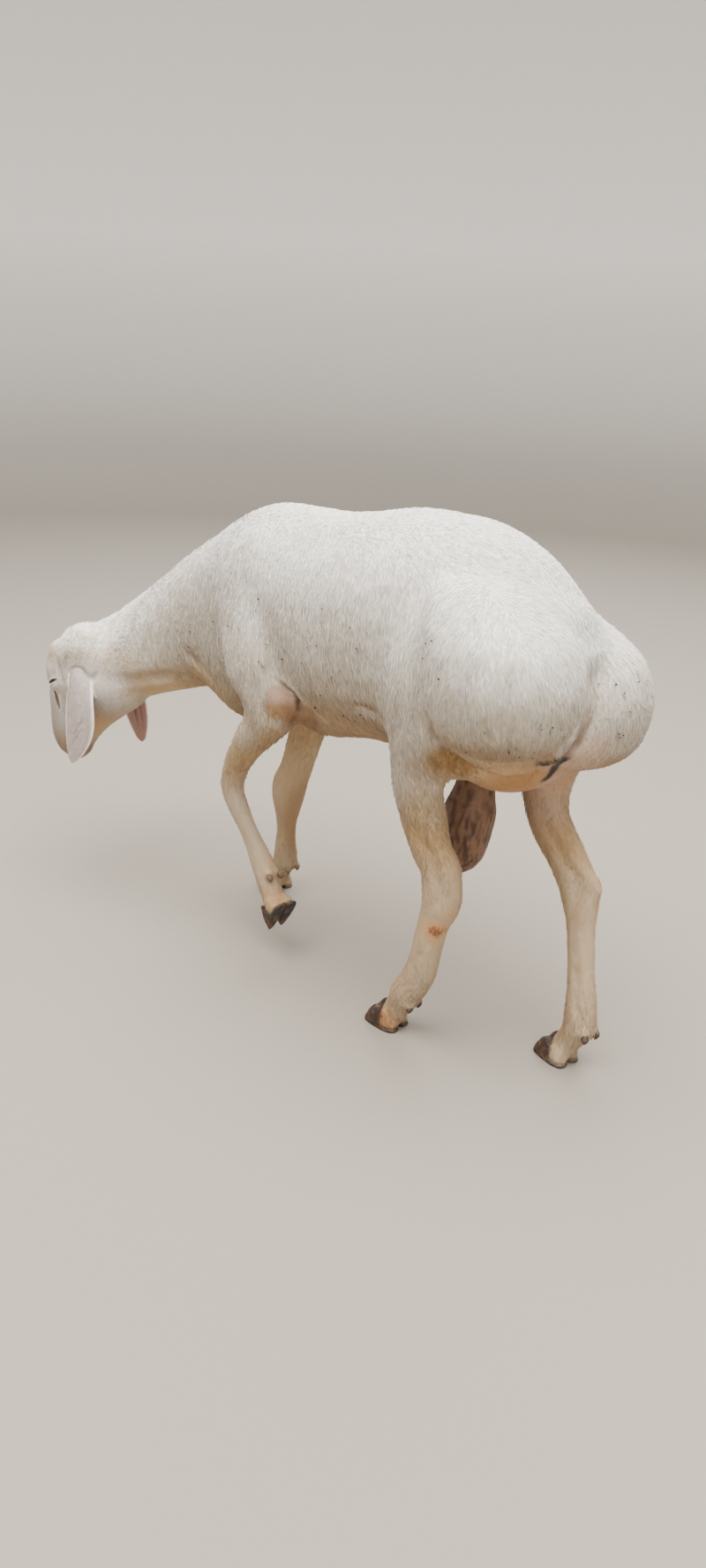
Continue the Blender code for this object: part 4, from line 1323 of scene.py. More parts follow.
    def colour_eye(self, colours: Array, points: Array, sign: int) -> None:
        """Dark rims to the lids and a brown tear gland below the inner corner.

        Args:
            colours: the skin's colours, changed in place.
            points: the skin's vertices.
            sign: -1 for the left eye, 1 for the right.
        """
        off = points - np.array(self.head.eye(sign))
        near = np.where(np.linalg.norm(off, axis=1) < 0.034)[0]
        long, short, out = (np.array(v) for v in self.eye_axes(sign))
        x, y = off[near] @ long, off[near] @ short
        half, above, below = self.slit
        ring = np.sqrt((x / (half * 1.1)) ** 2 + (y / np.where(y > 0, above, below) / 1.1) ** 2)
        front = off[near] @ out > 0
        colours[near] = mix(colours[near], "#2A1E19", 0.92 * front * fall(ring, 1.05, 1.45))
        far, share = from_path(points, self.head.path(TEAR, sign))
        width = (1.5 + 5.4 * np.sin(np.pi * np.clip(share, 0, 1)) ** 0.7) * MM
        rim = ramp(far, 2.1 * width, 1.5 * width) * ramp(far, 1.1 * width, 1.4 * width)
        stain = 0.9 * fall(far, 0.75 * width, 1.2 * width)
        colours[:] = paint(colours, [("#EFE9E0", 0.6 * rim), (self.markings.groove, stain)])


# ------------ the coat
@dataclass(frozen=True)
class Tufts:
    """How one stretch of coat grows."""

    name: str
    per_square_metre: float
    seed: int
    lift: float = 12.5             # degrees, from the skin, where the coat is long
    stray: float = 13.0            # degrees of scatter about the lie
    ragged: float = 0.25           # scatter of the length
    clump: float = 0.4             # how far the tips of a lock draw together
    lock: float = 4.5 * MM         # distance between locks
    slot: str = "short_fleece"     # a material slot's name
    width: float = 0.17 * MM       # half the width of the finest tuft
    taper: float = 0.021           # how much wider long tufts are


@dataclass
class Coat:
    """Short fleece and hair, as many small ridged tufts that lie along the body."""

    skin: Skin
    markings: Markings

    def __post_init__(self) -> None:
        """Reads the finished skin."""
        self.surface = Surface(self.skin.obj.data)
        self.normals = self.surface.normals()
        self.kinds = self.skin.kinds(self.surface.points)
        corners = self.surface.points[self.surface.triangles]
        self.corners, self.middles = corners, corners.mean(axis=1)
        a, b, c = corners.swapaxes(0, 1)
        self.area = np.linalg.norm(np.cross(b - a, c - a), axis=1) / 2
        self.face_kinds = self.kinds[self.surface.triangles[:, 0]]
        points = self.surface.points
        length = self.skin.measure(points, self.kinds)
        self.fields = np.column_stack([length, self.lie(points, self.normals, self.kinds)])
        for _ in range(45):
            self.fields = self.surface.average(self.fields)

    def lie(self, points: Array, normals: Array, kinds: Array) -> Array:
        """The direction in which the coat lies at each root.

        Args:
            points: the roots, n by 3.
            normals: the skin's outward directions there.
            kinds: the kind of hide there.

        Returns:
            Directions along the skin, n by 3.
        """
        side = np.abs(normals[:, 1])
        flow = np.zeros_like(points)
        flow[:, 0] = 1.0 - 0.6 * side
        flow[:, 2] = -0.15 - 0.95 * side
        for _, side in SIDES:
            node = f"tail_lobe_{side}"
            start = box_of(node)[0][0]
            crown = share_of(node, 0.5, 0.45 if side == "left" else 0.55, 0.9)
            away = unit(points - crown) + np.array([0.1, 0, -0.75])
            share = in_box(points, node, 0.02)[:, None] * ramp(points[:, :1], start + 0.01, start + 0.1)
            flow += share * (away - flow)
        back = -np.array(self.skin.head.along) - 0.6 * np.array(self.skin.head.up)
        for share, way in ((kinds == Hide.LEG.value, np.array([0.18, 0, -1.0])),
                           (ramp(points[:, 0], -0.35, -0.45), back),
                           (kinds == Hide.BARE.value, np.array([0.0, 0, -1.0]))):
            flow += share[:, None] * (way - flow)
        flow -= normals * np.sum(flow * normals, axis=1, keepdims=True)
        return unit(flow)

    def roots(self, tufts: Tufts, inside: Array, rng: np.random.Generator) -> tuple:
        """Scatters roots over part of the skin.

        Args:
            tufts: how densely they stand.
            inside: the density at each triangle, from 0 to 1.
            rng: the source of chance.

        Returns:
            The roots' places, and the normal, the length and the lie of the coat at each.
        """
        total = np.cumsum(self.area * inside)
        count = int(total[-1] * tufts.per_square_metre)
        ticks = (np.arange(count) + rng.random(count)) * (total[-1] / count)
        chosen = np.minimum(np.searchsorted(total, ticks), len(total) - 1)
        a, b = np.sqrt(rng.random(count)), rng.random(count)
        weights = np.stack([1 - a, a * (1 - b), a * b], axis=1)[:, :, None]
        points = np.sum(self.corners[chosen] * weights, axis=1)
        rows = self.surface.triangles[chosen]
        normals = unit(np.sum(self.normals[rows] * weights, axis=1))
        fields = np.sum(self.fields[rows] * weights, axis=1)
        lie = fields[:, 1:]
        lie = unit(lie - normals * np.sum(lie * normals, axis=1, keepdims=True))
        return points, normals, fields[:, 0], lie

    @staticmethod
    def unwrap(points: Array) -> Array:
        """Opens a stretch of skin out flat: along it, and round its middle line.

        Args:
            points: the roots of one stretch, n by 3.

        Returns:
            Two numbers for each root, from about 0 to 1.
        """
        middle = points.mean(axis=0)
        spread = points - middle
        axis = np.linalg.eigh(spread.T @ spread)[1][:, 2]
        side = unit(np.cross(axis, [0.3, 0.2, 0.9]))
        third = np.cross(axis, side)
        along = spread @ axis
        round_it = np.arctan2(spread @ side, spread @ third)
        flat = np.stack([along, round_it], axis=1)
        flat -= flat.min(axis=0)
        return 0.004 + 0.992 * flat / flat.max(axis=0)

    def locks(self, tufts: Tufts, points: Array, area: float, rng: np.random.Generator) -> Array:
        """Shares the roots out among locks.

        Args:
            tufts: how far apart the locks stand.
            points: the roots.
            area: the area that they cover.
            rng: the source of chance.

        Returns:
            For each root, the number of the root at its lock's middle.
        """
        count = max(int(area / tufts.lock ** 2), 1)
        middles = rng.choice(len(points), min(count, len(points)), replace=False)
        tree = KDTree(len(middles))
        for k, place in zip(middles.tolist(), points[middles].tolist()):
            tree.insert(place, k)
        tree.balance()
        return np.array([tree.find(p)[1] for p in points.tolist()])

    def grow(self, tufts: Tufts, inside: Array, finish: Material, tint: Callable | None = None) -> Object:
        """Grows one piece of coat.

        Args:
            tufts: how the tufts look.
            inside: the density at each of the skin's triangles, from 0 to 1.
            finish: the material.
            tint: a rule for the colours, if not the markings' own.

        Returns:
            The piece.
        """
        rng = np.random.default_rng(tufts.seed)
        points, normals, length, lie = self.roots(tufts, inside, rng)
        count = len(points)
        middle = self.locks(tufts, points, float(np.sum(self.area * inside)), rng)
        lock_turn = np.radians(rng.normal(0, 0.6 * tufts.stray, count))[middle]
        turn = (np.radians(rng.normal(0, tufts.stray, count)) + lock_turn
                + 0.16 * ripple(points, 0.11))[:, None]
        lie = lie * np.cos(turn) + np.cross(normals, lie) * np.sin(turn)
        flatter = curve(length, [(3 * MM, 0.65), (13 * MM, 1.0)])
        lift = np.radians(tufts.lift * flatter * rng.uniform(0.5, 1.5, count))[:, None]
        length = (length * (1 + tufts.ragged * rng.uniform(-1, 1, count)))[:, None]
        half = (tufts.width + tufts.taper * length) * rng.uniform(0.7, 1.3, count)[:, None]
        root = points - normals * 0.5 * MM
        rise = lie * np.cos(1.5 * lift) + normals * np.sin(1.5 * lift)
        fall = lie * np.cos(0.5 * lift) + normals * np.sin(0.5 * lift)
        bend = root + rise * length * 0.5
        tip = bend + fall * length * 0.5
        # A lock's tips draw together; the middle moves half as far, so that no tuft turns over.
        pull = tufts.clump * (tip[middle] - tip)
        tip += pull
        bend += 0.5 * pull
        side = unit(np.cross(tip - root, normals))
        keel = normals * half * 0.2
        corners = np.stack([root - side * half, root + side * half, bend + keel, bend - keel, tip], axis=1)
        # Each tuft: left and right root, ridge, keel and tip.
        shape = np.array([[0, 1, 2], [0, 2, 4], [2, 1, 4], [1, 0, 3], [0, 4, 3], [4, 1, 3]])
        triangles = (np.arange(count)[:, None, None] * 5 + shape).reshape(-1, 3)
        mesh = mesh_from_arrays(tufts.name, corners.reshape(-1, 3), triangles)
        colours = (tint or self.markings.tint)(points, normals)
        shade = 1 + 0.055 * rng.normal(0, 1, count) + 0.065 * rng.normal(0, 1, count)[middle]
        colours = np.repeat(colours * shade[:, None], 5, axis=0)
        lean = normals + 0.24 * side * rng.normal(0, 1, count)[:, None] + 0.15 * rise
        mesh.normals_split_custom_set_from_vertices(np.repeat(unit(lean), 5, axis=0).astype(np.float32))
        self.bake_map(mesh, self.unwrap(points), triangles)
        piece = dress(add_object(tufts.name, mesh), colours, finish)
        return piece

    @staticmethod
    def bake_map(mesh: Mesh, flat: Array, triangles: Array) -> None:
        """Gives each tuft a small patch at its root's place on the opened skin.

        Args:
            mesh: the tufts.
            flat: the roots' places on the opened skin.
            triangles: the tufts' triangles.
        """
        size = 0.003            # of a patch, as a share of the map
        patch = np.array([[-0.5, -0.5], [0.5, -0.5], [0.0, 0.0], [0.1, -0.2], [0.0, 0.5]]) * size
        places = (flat[:, None] + patch).reshape(-1, 2)
        layer = mesh.uv_layers.new(name="OFBake")
        layer.data.foreach_set("uv", places[triangles.ravel()].astype(np.float32).ravel())


# ------------ finishes
@dataclass(frozen=True)
class Finish:
    """What all finishes share: one shader, and patterns on each point's place in metres."""

    name: str

    def material(self) -> Material:
        """Builds the node tree."""
        mat = bpy.data.materials.new(self.name)
        mat.use_nodes = True
        tree = mat.node_tree
        tree.nodes.clear()
        place = add(tree, "ShaderNodeTexCoord").outputs["Object"]
        surface = add(tree, "ShaderNodeBsdfPrincipled", None, self.look(tree, place))
        add(tree, "ShaderNodeOutputMaterial", None, {"Surface": surface.outputs["BSDF"]})
        return mat

    def look(self, tree: NodeTree, place: NodeSocket) -> dict:
        """The shader's inputs, by name: patterns that go in the tree, from each point's place."""
        raise NotImplementedError


@dataclass(frozen=True)
class Hair(Finish):
    """Wool or hair: matt keratin fibre, so it shows no highlight but a faint sheen at its edges."""

    roughness: float = 0.85
    cloud: float = 14.0            # per metre: wool changes its shade about every 70 mm
    streak: float = 0.0            # depth of the bump where hair lies flat, in metres

    def look(self, tree: NodeTree, place: NodeSocket) -> dict:
        """The shader's inputs: a wandering shade, and fine fibres that run downwards."""
        tint = add(tree, "ShaderNodeAttribute", {"attribute_name": "tint"}).outputs["Color"]
        cloud = add(tree, "ShaderNodeTexNoise", None, {"Vector": place, "Scale": self.cloud, "Detail": 4.0})
        shade = add(tree, "ShaderNodeMapRange", None,
                    {"Value": cloud.outputs["Fac"], "From Min": 0.3, "From Max": 0.7,
                     "To Min": 0.95, "To Max": 1.03})
        mixed = add(tree, "ShaderNodeMix", {"data_type": "RGBA", "blend_type": "MULTIPLY"},
                    {0: 1.0, 6: tint, 7: shade.outputs["Result"]})
        inputs = {"Base Color": mixed.outputs[2], "Roughness": self.roughness, "Specular IOR Level": 0.25,
                  "Sheen Weight": 0.15, "Sheen Roughness": 0.5}
        if self.streak:
            # Hair is 0.05 mm thick; locks of it, 1 mm apart and 6 mm long, are what shows.
            flat = add(tree, "ShaderNodeMapping", None, {"Vector": place, "Scale": (1.0, 1.0, 0.16)})
            fibre = add(tree, "ShaderNodeTexNoise", None,
                        {"Vector": flat.outputs["Vector"], "Scale": 900.0, "Detail": 3.0, "Roughness": 0.6})
            bump = add(tree, "ShaderNodeBump", None,
                       {"Height": fibre.outputs["Fac"], "Distance": self.streak, "Strength": 0.8})
            inputs["Normal"] = bump.outputs["Normal"]
        return inputs


@dataclass(frozen=True)
class BareSkin(Finish):
    """Bare skin: pores and wrinkles break its slight gloss, and light glows through where it is thin."""

    roughness: float = 0.6
    pore: float = 700.0            # per metre: 1.4 mm apart, coarser than real pores so that they show
    depth: float = 0.2 * MM
    glow: float = 0.0
    bleed: float = 4 * MM          # how far light spreads inside

    def look(self, tree: NodeTree, place: NodeSocket) -> dict:
        """The shader's inputs: pores over wrinkles about 6 mm apart."""
        pores = add(tree, "ShaderNodeTexVoronoi", None, {"Vector": place, "Scale": self.pore})
        wrinkle = add(tree, "ShaderNodeTexNoise", None, {"Vector": place, "Scale": 160.0, "Detail": 5.0})
        height = add(tree, "ShaderNodeMath", {"operation": "ADD"},
                     {0: pores.outputs["Distance"], 1: wrinkle.outputs["Fac"]})
        bump = add(tree, "ShaderNodeBump", None,
                   {"Height": height.outputs["Value"], "Distance": self.depth, "Strength": 0.7})
        tint = add(tree, "ShaderNodeAttribute", {"attribute_name": "tint"}).outputs["Color"]
        shade = add(tree, "ShaderNodeMapRange", None,
                    {"Value": wrinkle.outputs["Fac"], "From Min": 0.35, "From Max": 0.65,
                     "To Min": 0.9, "To Max": 1.05})
        mixed = add(tree, "ShaderNodeMix", {"data_type": "RGBA", "blend_type": "MULTIPLY"},
                    {0: 1.0, 6: tint, 7: shade.outputs["Result"]})
        return {"Base Color": mixed.outputs[2], "Roughness": self.roughness,
                "Normal": bump.outputs["Normal"], "Specular IOR Level": 0.35,
                "Subsurface Weight": self.glow, "Subsurface Scale": self.bleed}


@dataclass(frozen=True)
class Horn(Finish):
    """Hoof horn: keratin worn on stony ground, so scuffs and caked dust dull its low gloss."""

    roughness: float = 0.55
    dust: str = "#9B8062"

    def look(self, tree: NodeTree, place: NodeSocket) -> dict:
        """The shader's inputs: scuffs about 4 mm apart and dust in patches of about 11 mm."""
        tint = add(tree, "ShaderNodeAttribute", {"attribute_name": "tint"}).outputs["Color"]
        scuff = add(tree, "ShaderNodeTexNoise", None, {"Vector": place, "Scale": 260.0, "Detail": 6.0})
        dust = add(tree, "ShaderNodeTexNoise", None, {"Vector": place, "Scale": 90.0, "Detail": 5.0})
        share = add(tree, "ShaderNodeMapRange", None,
                    {"Value": dust.outputs["Fac"], "From Min": 0.5, "From Max": 0.75, "To Max": 0.35})
        mixed = add(tree, "ShaderNodeMix", {"data_type": "RGBA"},
                    {0: share.outputs["Result"], 6: tint, 7: (*linear(self.dust), 1)})
        rough = add(tree, "ShaderNodeMapRange", None,
                    {"Value": scuff.outputs["Fac"], "To Min": self.roughness - 0.15, "To Max": 0.95})
        bump = add(tree, "ShaderNodeBump", None,
                   {"Height": scuff.outputs["Fac"], "Distance": 0.3 * MM, "Strength": 0.8})
        return {"Base Color": mixed.outputs[2], "Roughness": rough.outputs["Result"],
                "Normal": bump.outputs["Normal"]}


@dataclass(frozen=True)
class WetEye(Finish):
    """A living eye: the iris under a film of tears, whose gloss gives the eye its spark."""

    def look(self, tree: NodeTree, place: NodeSocket) -> dict:
        """The shader's inputs: fine threads in the iris, and the cornea's index under the film."""
        tint = add(tree, "ShaderNodeAttribute", {"attribute_name": "tint"}).outputs["Color"]
        thread = add(tree, "ShaderNodeTexNoise", None, {"Vector": place, "Scale": 900.0, "Detail": 3.0})
        shade = add(tree, "ShaderNodeMapRange", None,
                    {"Value": thread.outputs["Fac"], "To Min": 0.8, "To Max": 1.2})
        mixed = add(tree, "ShaderNodeMix", {"data_type": "RGBA", "blend_type": "MULTIPLY"},
                    {0: 1.0, 6: tint, 7: shade.outputs["Result"]})
        return {"Base Color": mixed.outputs[2], "Roughness": 0.35, "Coat Weight": 1.0,
                "Coat Roughness": 0.03, "Coat IOR": 1.376}


@dataclass(frozen=True)
class FloorPaint(Finish):
    """Matt paint, a little darker on the ground than on the wall, so that the ram stands out."""

    ground: str = "#968F85"
    wall: str = "#F4F1EC"
    rise: float = 1.5              # height at which the wall's colour is reached

    def look(self, tree: NodeTree, place: NodeSocket) -> dict:
        """The shader's inputs: one colour that turns into the other with height."""
        height = add(tree, "ShaderNodeSeparateXYZ", None, {"Vector": place})
        rise = add(tree, "ShaderNodeMapRange", None, {"Value": height.outputs["Z"], "From Max": self.rise})
        paint = add(tree, "ShaderNodeMix", {"data_type": "RGBA"},
                    {0: rise.outputs["Result"], 6: (*linear(self.ground), 1), 7: (*linear(self.wall), 1)})
        return {"Base Color": paint.outputs[2], "Roughness": 0.9}


# ------------ dirt, eyes and feet
@dataclass
class Crumbs:
    """Small crumbs of dried dirt that hang in the fleece."""

    markings: Markings
    above: float = 3.2 * MM        # the skin

    def build(self, finish: Material) -> Object:
        """Makes the crumbs, each a lumpy grain of a few dozen faces.

        Args:
            finish: the material.

        Returns:
            The crumbs, as one piece.
        """
        rng = np.random.default_rng(83)
        bm = bmesh.new()
        spots = self.markings
        for centre, outward, size in zip(spots.centres, spots.outward, spots.sizes):
            squash = Matrix.Diagonal((*rng.uniform(0.5, 1.0, 3), 1))
            turn = Matrix.Rotation(rng.uniform(0, 6), 4, Vector(unit(rng.normal(0, 1, (1, 3)))[0]))
            place = Matrix.Translation(centre + outward * self.above)
            grain = bmesh.ops.create_icosphere(bm, subdivisions=1, radius=0.7 * size,
                                               matrix=place @ turn @ squash)
            for v in grain["verts"]:
                v.co += Vector(rng.normal(0, 0.12 * size, 3))
        crumbs = add_object("dirt_crumbs", mesh_from_bmesh("dirt_crumbs", bm))
        return dress(crumbs, np.array(linear(self.markings.fleck)), finish)


@dataclass
class Eye:
    """An eyeball with a brown iris and a level slit pupil."""

    head: Head
    skin: Skin
    side: int
    name: str
    iris: float = 9.0 * MM
    pupil: tuple = (6.29 * MM, 2.44 * MM)   # half its length and height

    def build(self, finish: Material) -> Object:
        """Makes the eyeball in its node's place.

        Args:
            finish: the material.

        Returns:
            The eyeball.
        """
        _, _, gaze = self.skin.eye_axes(self.side)
        level = UP.cross(gaze).normalized()
        upright = gaze.cross(level)
        turn = Matrix((level, upright, gaze)).transposed().to_4x4()
        bm = bmesh.new()
        bmesh.ops.create_uvsphere(bm, u_segments=72, v_segments=64, radius=self.head.eye_radius - 0.3 * MM)
        mesh = mesh_from_bmesh(self.name, bm)
        local = places_of(mesh)
        across = np.linalg.norm(local[:, :2], axis=1)
        front = local[:, 2] > 0
        slit = np.sqrt((local[:, 0] / self.pupil[0]) ** 4 + (local[:, 1] / self.pupil[1]) ** 4) ** 0.5
        colours = paint(fill(local, "#6E5C4E"), [
            ("#20150F", front * fall(across, self.iris, self.iris * 1.12)),
            ("#432B16", front * fall(across, self.iris * 0.55, self.iris * 0.97)),
            ("#08080A", front * fall(slit, 0.85, 1.1))])
        mesh.transform(Matrix.Translation(self.head.eye(self.side)) @ turn)
        mesh.shade_smooth()
        piece = dress(add_object(f"{self.name}ball", mesh), colours, finish)
        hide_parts(self.name)
        return piece


@dataclass
class Lashes:
    """Short pale lashes along the lids of one eye, set out by a tree of geometry nodes."""

    skin: Skin
    side: int
    name: str
    count: int = 34
    length: float = 5.5 * MM
    thickness: float = 0.2 * MM
    splay: float = 0.75            # how far they point away from the slit
    colour: str = "#E8E0D4"

    def roots(self) -> Object:
        """One vertex for each lash on the lids' edge, with the way that it points."""
        _, short, out = self.skin.eye_axes(self.side)
        radius = self.skin.head.eye_radius + self.skin.lid - 0.3 * MM
        droop = self.skin.head.direction(0.25, 0, -0.1)
        places, aims = [], []
        for x, y in self.skin.slit_edge(self.count):
            places.append(self.skin.on_lid(self.side, 1.15 * x, 1.25 * y, radius))
            spread = math.copysign(self.splay, y) if abs(y) > 0.1 * MM else 0.0
            aims.append((out + short * spread + droop).normalized())
        mesh = bpy.data.meshes.new(self.name)
        mesh.from_pydata(places, [], [])
        aim = mesh.attributes.new("aim", "FLOAT_VECTOR", "POINT")
        aim.data.foreach_set("vector", np.array(aims, dtype=np.float32).ravel())
        return add_object(self.name, mesh)

    def tree(self) -> NodeTree:
        """Cones on the roots, each turned along its aim and a little longer or shorter."""
        tree = bpy.data.node_groups.new("lash_rows", "GeometryNodeTree")
        for name, kind in (("Roots", "Geometry"), ("Length", "Float"), ("Thickness", "Float"),
                           ("Hair", "Material")):
            tree.interface.new_socket(name, in_out="INPUT", socket_type=f"NodeSocket{kind}")
        tree.interface.new_socket("Lashes", in_out="OUTPUT", socket_type="NodeSocketGeometry")
        sizes = add(tree, "NodeGroupInput").outputs
        cone = add(tree, "GeometryNodeMeshCone", None,
                   {"Vertices": 5, "Radius Bottom": sizes["Thickness"], "Depth": sizes["Length"]})
        aim = add(tree, "GeometryNodeInputNamedAttribute", {"data_type": "FLOAT_VECTOR"}, {"Name": "aim"})
        turn = add(tree, "FunctionNodeAlignRotationToVector", {"axis": "Z"}, {"Vector": aim.outputs[0]})
        vary = add(tree, "FunctionNodeRandomValue", {"data_type": "FLOAT"}, {2: 0.6, 3: 1.1, "Seed": 7})
        rows = add(tree, "GeometryNodeInstanceOnPoints", None,
                   {"Points": sizes["Roots"], "Instance": cone.outputs["Mesh"],
                    "Rotation": turn.outputs["Rotation"], "Scale": vary.outputs[1]})
        solid = add(tree, "GeometryNodeRealizeInstances", None, {"Geometry": rows.outputs["Instances"]})
        dressed = add(tree, "GeometryNodeSetMaterial", None,
                      {"Geometry": solid.outputs["Geometry"], "Material": sizes["Hair"]})
        add(tree, "NodeGroupOutput", None, {"Lashes": dressed.outputs["Geometry"]})
        return tree

    def build(self, finish: Material) -> Object:
        """Grows the lashes.

        Args:
            finish: the material.

        Returns:
            The lashes, as one plain mesh.
        """
        piece = self.roots()
        rows = piece.modifiers.new("rows", "NODES")
        rows.node_group = self.tree()
        values = {"Length": self.length, "Thickness": self.thickness, "Hair": finish}
        for item in rows.node_group.interface.items_tree:
            if item.in_out == "INPUT" and item.name in values:
                rows[item.identifier] = values[item.name]
        graph = bpy.context.evaluated_depsgraph_get()
        mesh = bpy.data.meshes.new_from_object(piece.evaluated_get(graph))
        piece.modifiers.remove(rows)
        mesh.materials.clear()          # dress puts the same one back
        mesh.name, piece.data = self.name, mesh
        dress(piece, np.array(linear(self.colour)), finish)
        return piece


def rounded(node: str, bm: BMesh) -> tuple[Object, Surface]:
    """Makes a node's copy smooth, as the start of the horn that replaces it.

    Args:
        node: the node.
        bm: the copy, which is freed.

    Returns:
        The new object and its surface.
    """
    obj = add_object(f"{node}_horn", mesh_from_bmesh(node, bm))
    subdivide = obj.modifiers.new("round", "SUBSURF")
    subdivide.levels = subdivide.render_levels = 2
    apply_modifiers(obj)
    return obj, Surface(obj.data)


@dataclass
class Claw:
    """One horn claw of a cloven foot, with growth rings and a softer bulb behind."""

    node: str
    toe: str
    rust: str
    bulb: str
    seam: str = "#1E1713"          # dirt between the rings
    ring: float = 2.6 * MM
    relief: float = 0.28 * MM
    crown: float = 3.0 * MM        # how far the top reaches up into the hair
    tuck: float = 3.0 * MM         # how far the sides behind sink below the bulb

    def build(self, finish: Material) -> Object:
        """Refines a copy of the solid.

        Args:
            finish: the material.

        Returns:
            The claw.
        """
        bm = merged_copy(self.node)
        up, ahead = claw_axes(self.node)
        crease = bm.edges.layers.float.new("crease_edge")
        for e in bm.edges:
            if len(e.link_faces) == 2 and e.calc_face_angle(0) > math.radians(50):
                e[crease] = 0.8
        obj, surface = rounded(self.node, bm)
        points = surface.points
        height = points @ up
        height -= height.min()
        middle = points.mean(axis=0)
        reach = (points - middle) @ ahead
        forward = (reach - reach.min()) / (reach.max() - reach.min())
        wall = ramp(height, 1.5 * MM, 4 * MM)
        bend = height + 1.2 * MM * np.sin(reach * 260) + 0.6 * MM * ripple(points, 0.02)
        rings = np.sin(bend * 2 * math.pi / self.ring)
        lean = wall * (0.5 + 0.5 * rings)
        surface.push(self.relief * (rings - 0.3) * wall)
        surface.push(0.35 * MM * ripple(points, 0.014))
        top = ramp(height, 0.8 * height.max(), height.max())
        surface.points += np.outer(top * self.crown, up) + (middle - points) * (0.1 * top)[:, None]
        surface.push(-(self.tuck * ramp(forward, 0.5, 0.36) * ramp(height, 3 * MM, 6 * MM)))
        surface.write()
        obj.data.shade_smooth()
        patch = ramp(ripple(points, 0.026, 2.0) + 1.2 * (forward - 0.55), 0.1, 0.7)
        behind = ramp(forward + 0.06 * ripple(points, 0.012), 0.46, 0.36)
        dress(obj, paint(fill(points, self.toe), [
            (self.rust, 0.6 * patch), (self.seam, 0.35 * lean * wall),
            (self.bulb, behind * ramp(height, 3 * MM, 7 * MM))]), finish)
        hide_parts(self.node)
        return obj


@dataclass
class Dewclaw:
    """A small blunt cone of horn behind the fetlock."""

    node: str
    colour: str
    dust: str = "#7B644F"
    ring: float = 2.2 * MM
    narrowing: tuple = ((-10 * MM, 0.45), (-2 * MM, 0.9), (10 * MM, 1.0))      # by height

    def build(self, finish: Material) -> Object:
        """Refines a copy of the solid.

        Args:
            finish: the material.

        Returns:
            The dewclaw.
        """
        obj, surface = rounded(self.node, merged_copy(self.node))
        rings = np.sin(surface.points[:, 2] * 2 * math.pi / self.ring)
        surface.push(0.25 * MM * rings + 0.2 * MM)
        surface.push(0.7 * MM * ripple(surface.points, 0.009))
        off = surface.points - surface.points.mean(axis=0)
        squeeze = curve(off[:, 2], self.narrowing)
        surface.points[:, :2] -= off[:, :2] * (1 - squeeze)[:, None]
        surface.points -= off * 0.12
        surface.write()
        obj.data.shade_smooth()
        dusty = 0.5 * ramp(ripple(surface.points, 0.009), 0.1, 0.9)
        dress(obj, mix(fill(surface.points, self.colour), self.dust, dusty), finish)
        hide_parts(self.node)
        return obj


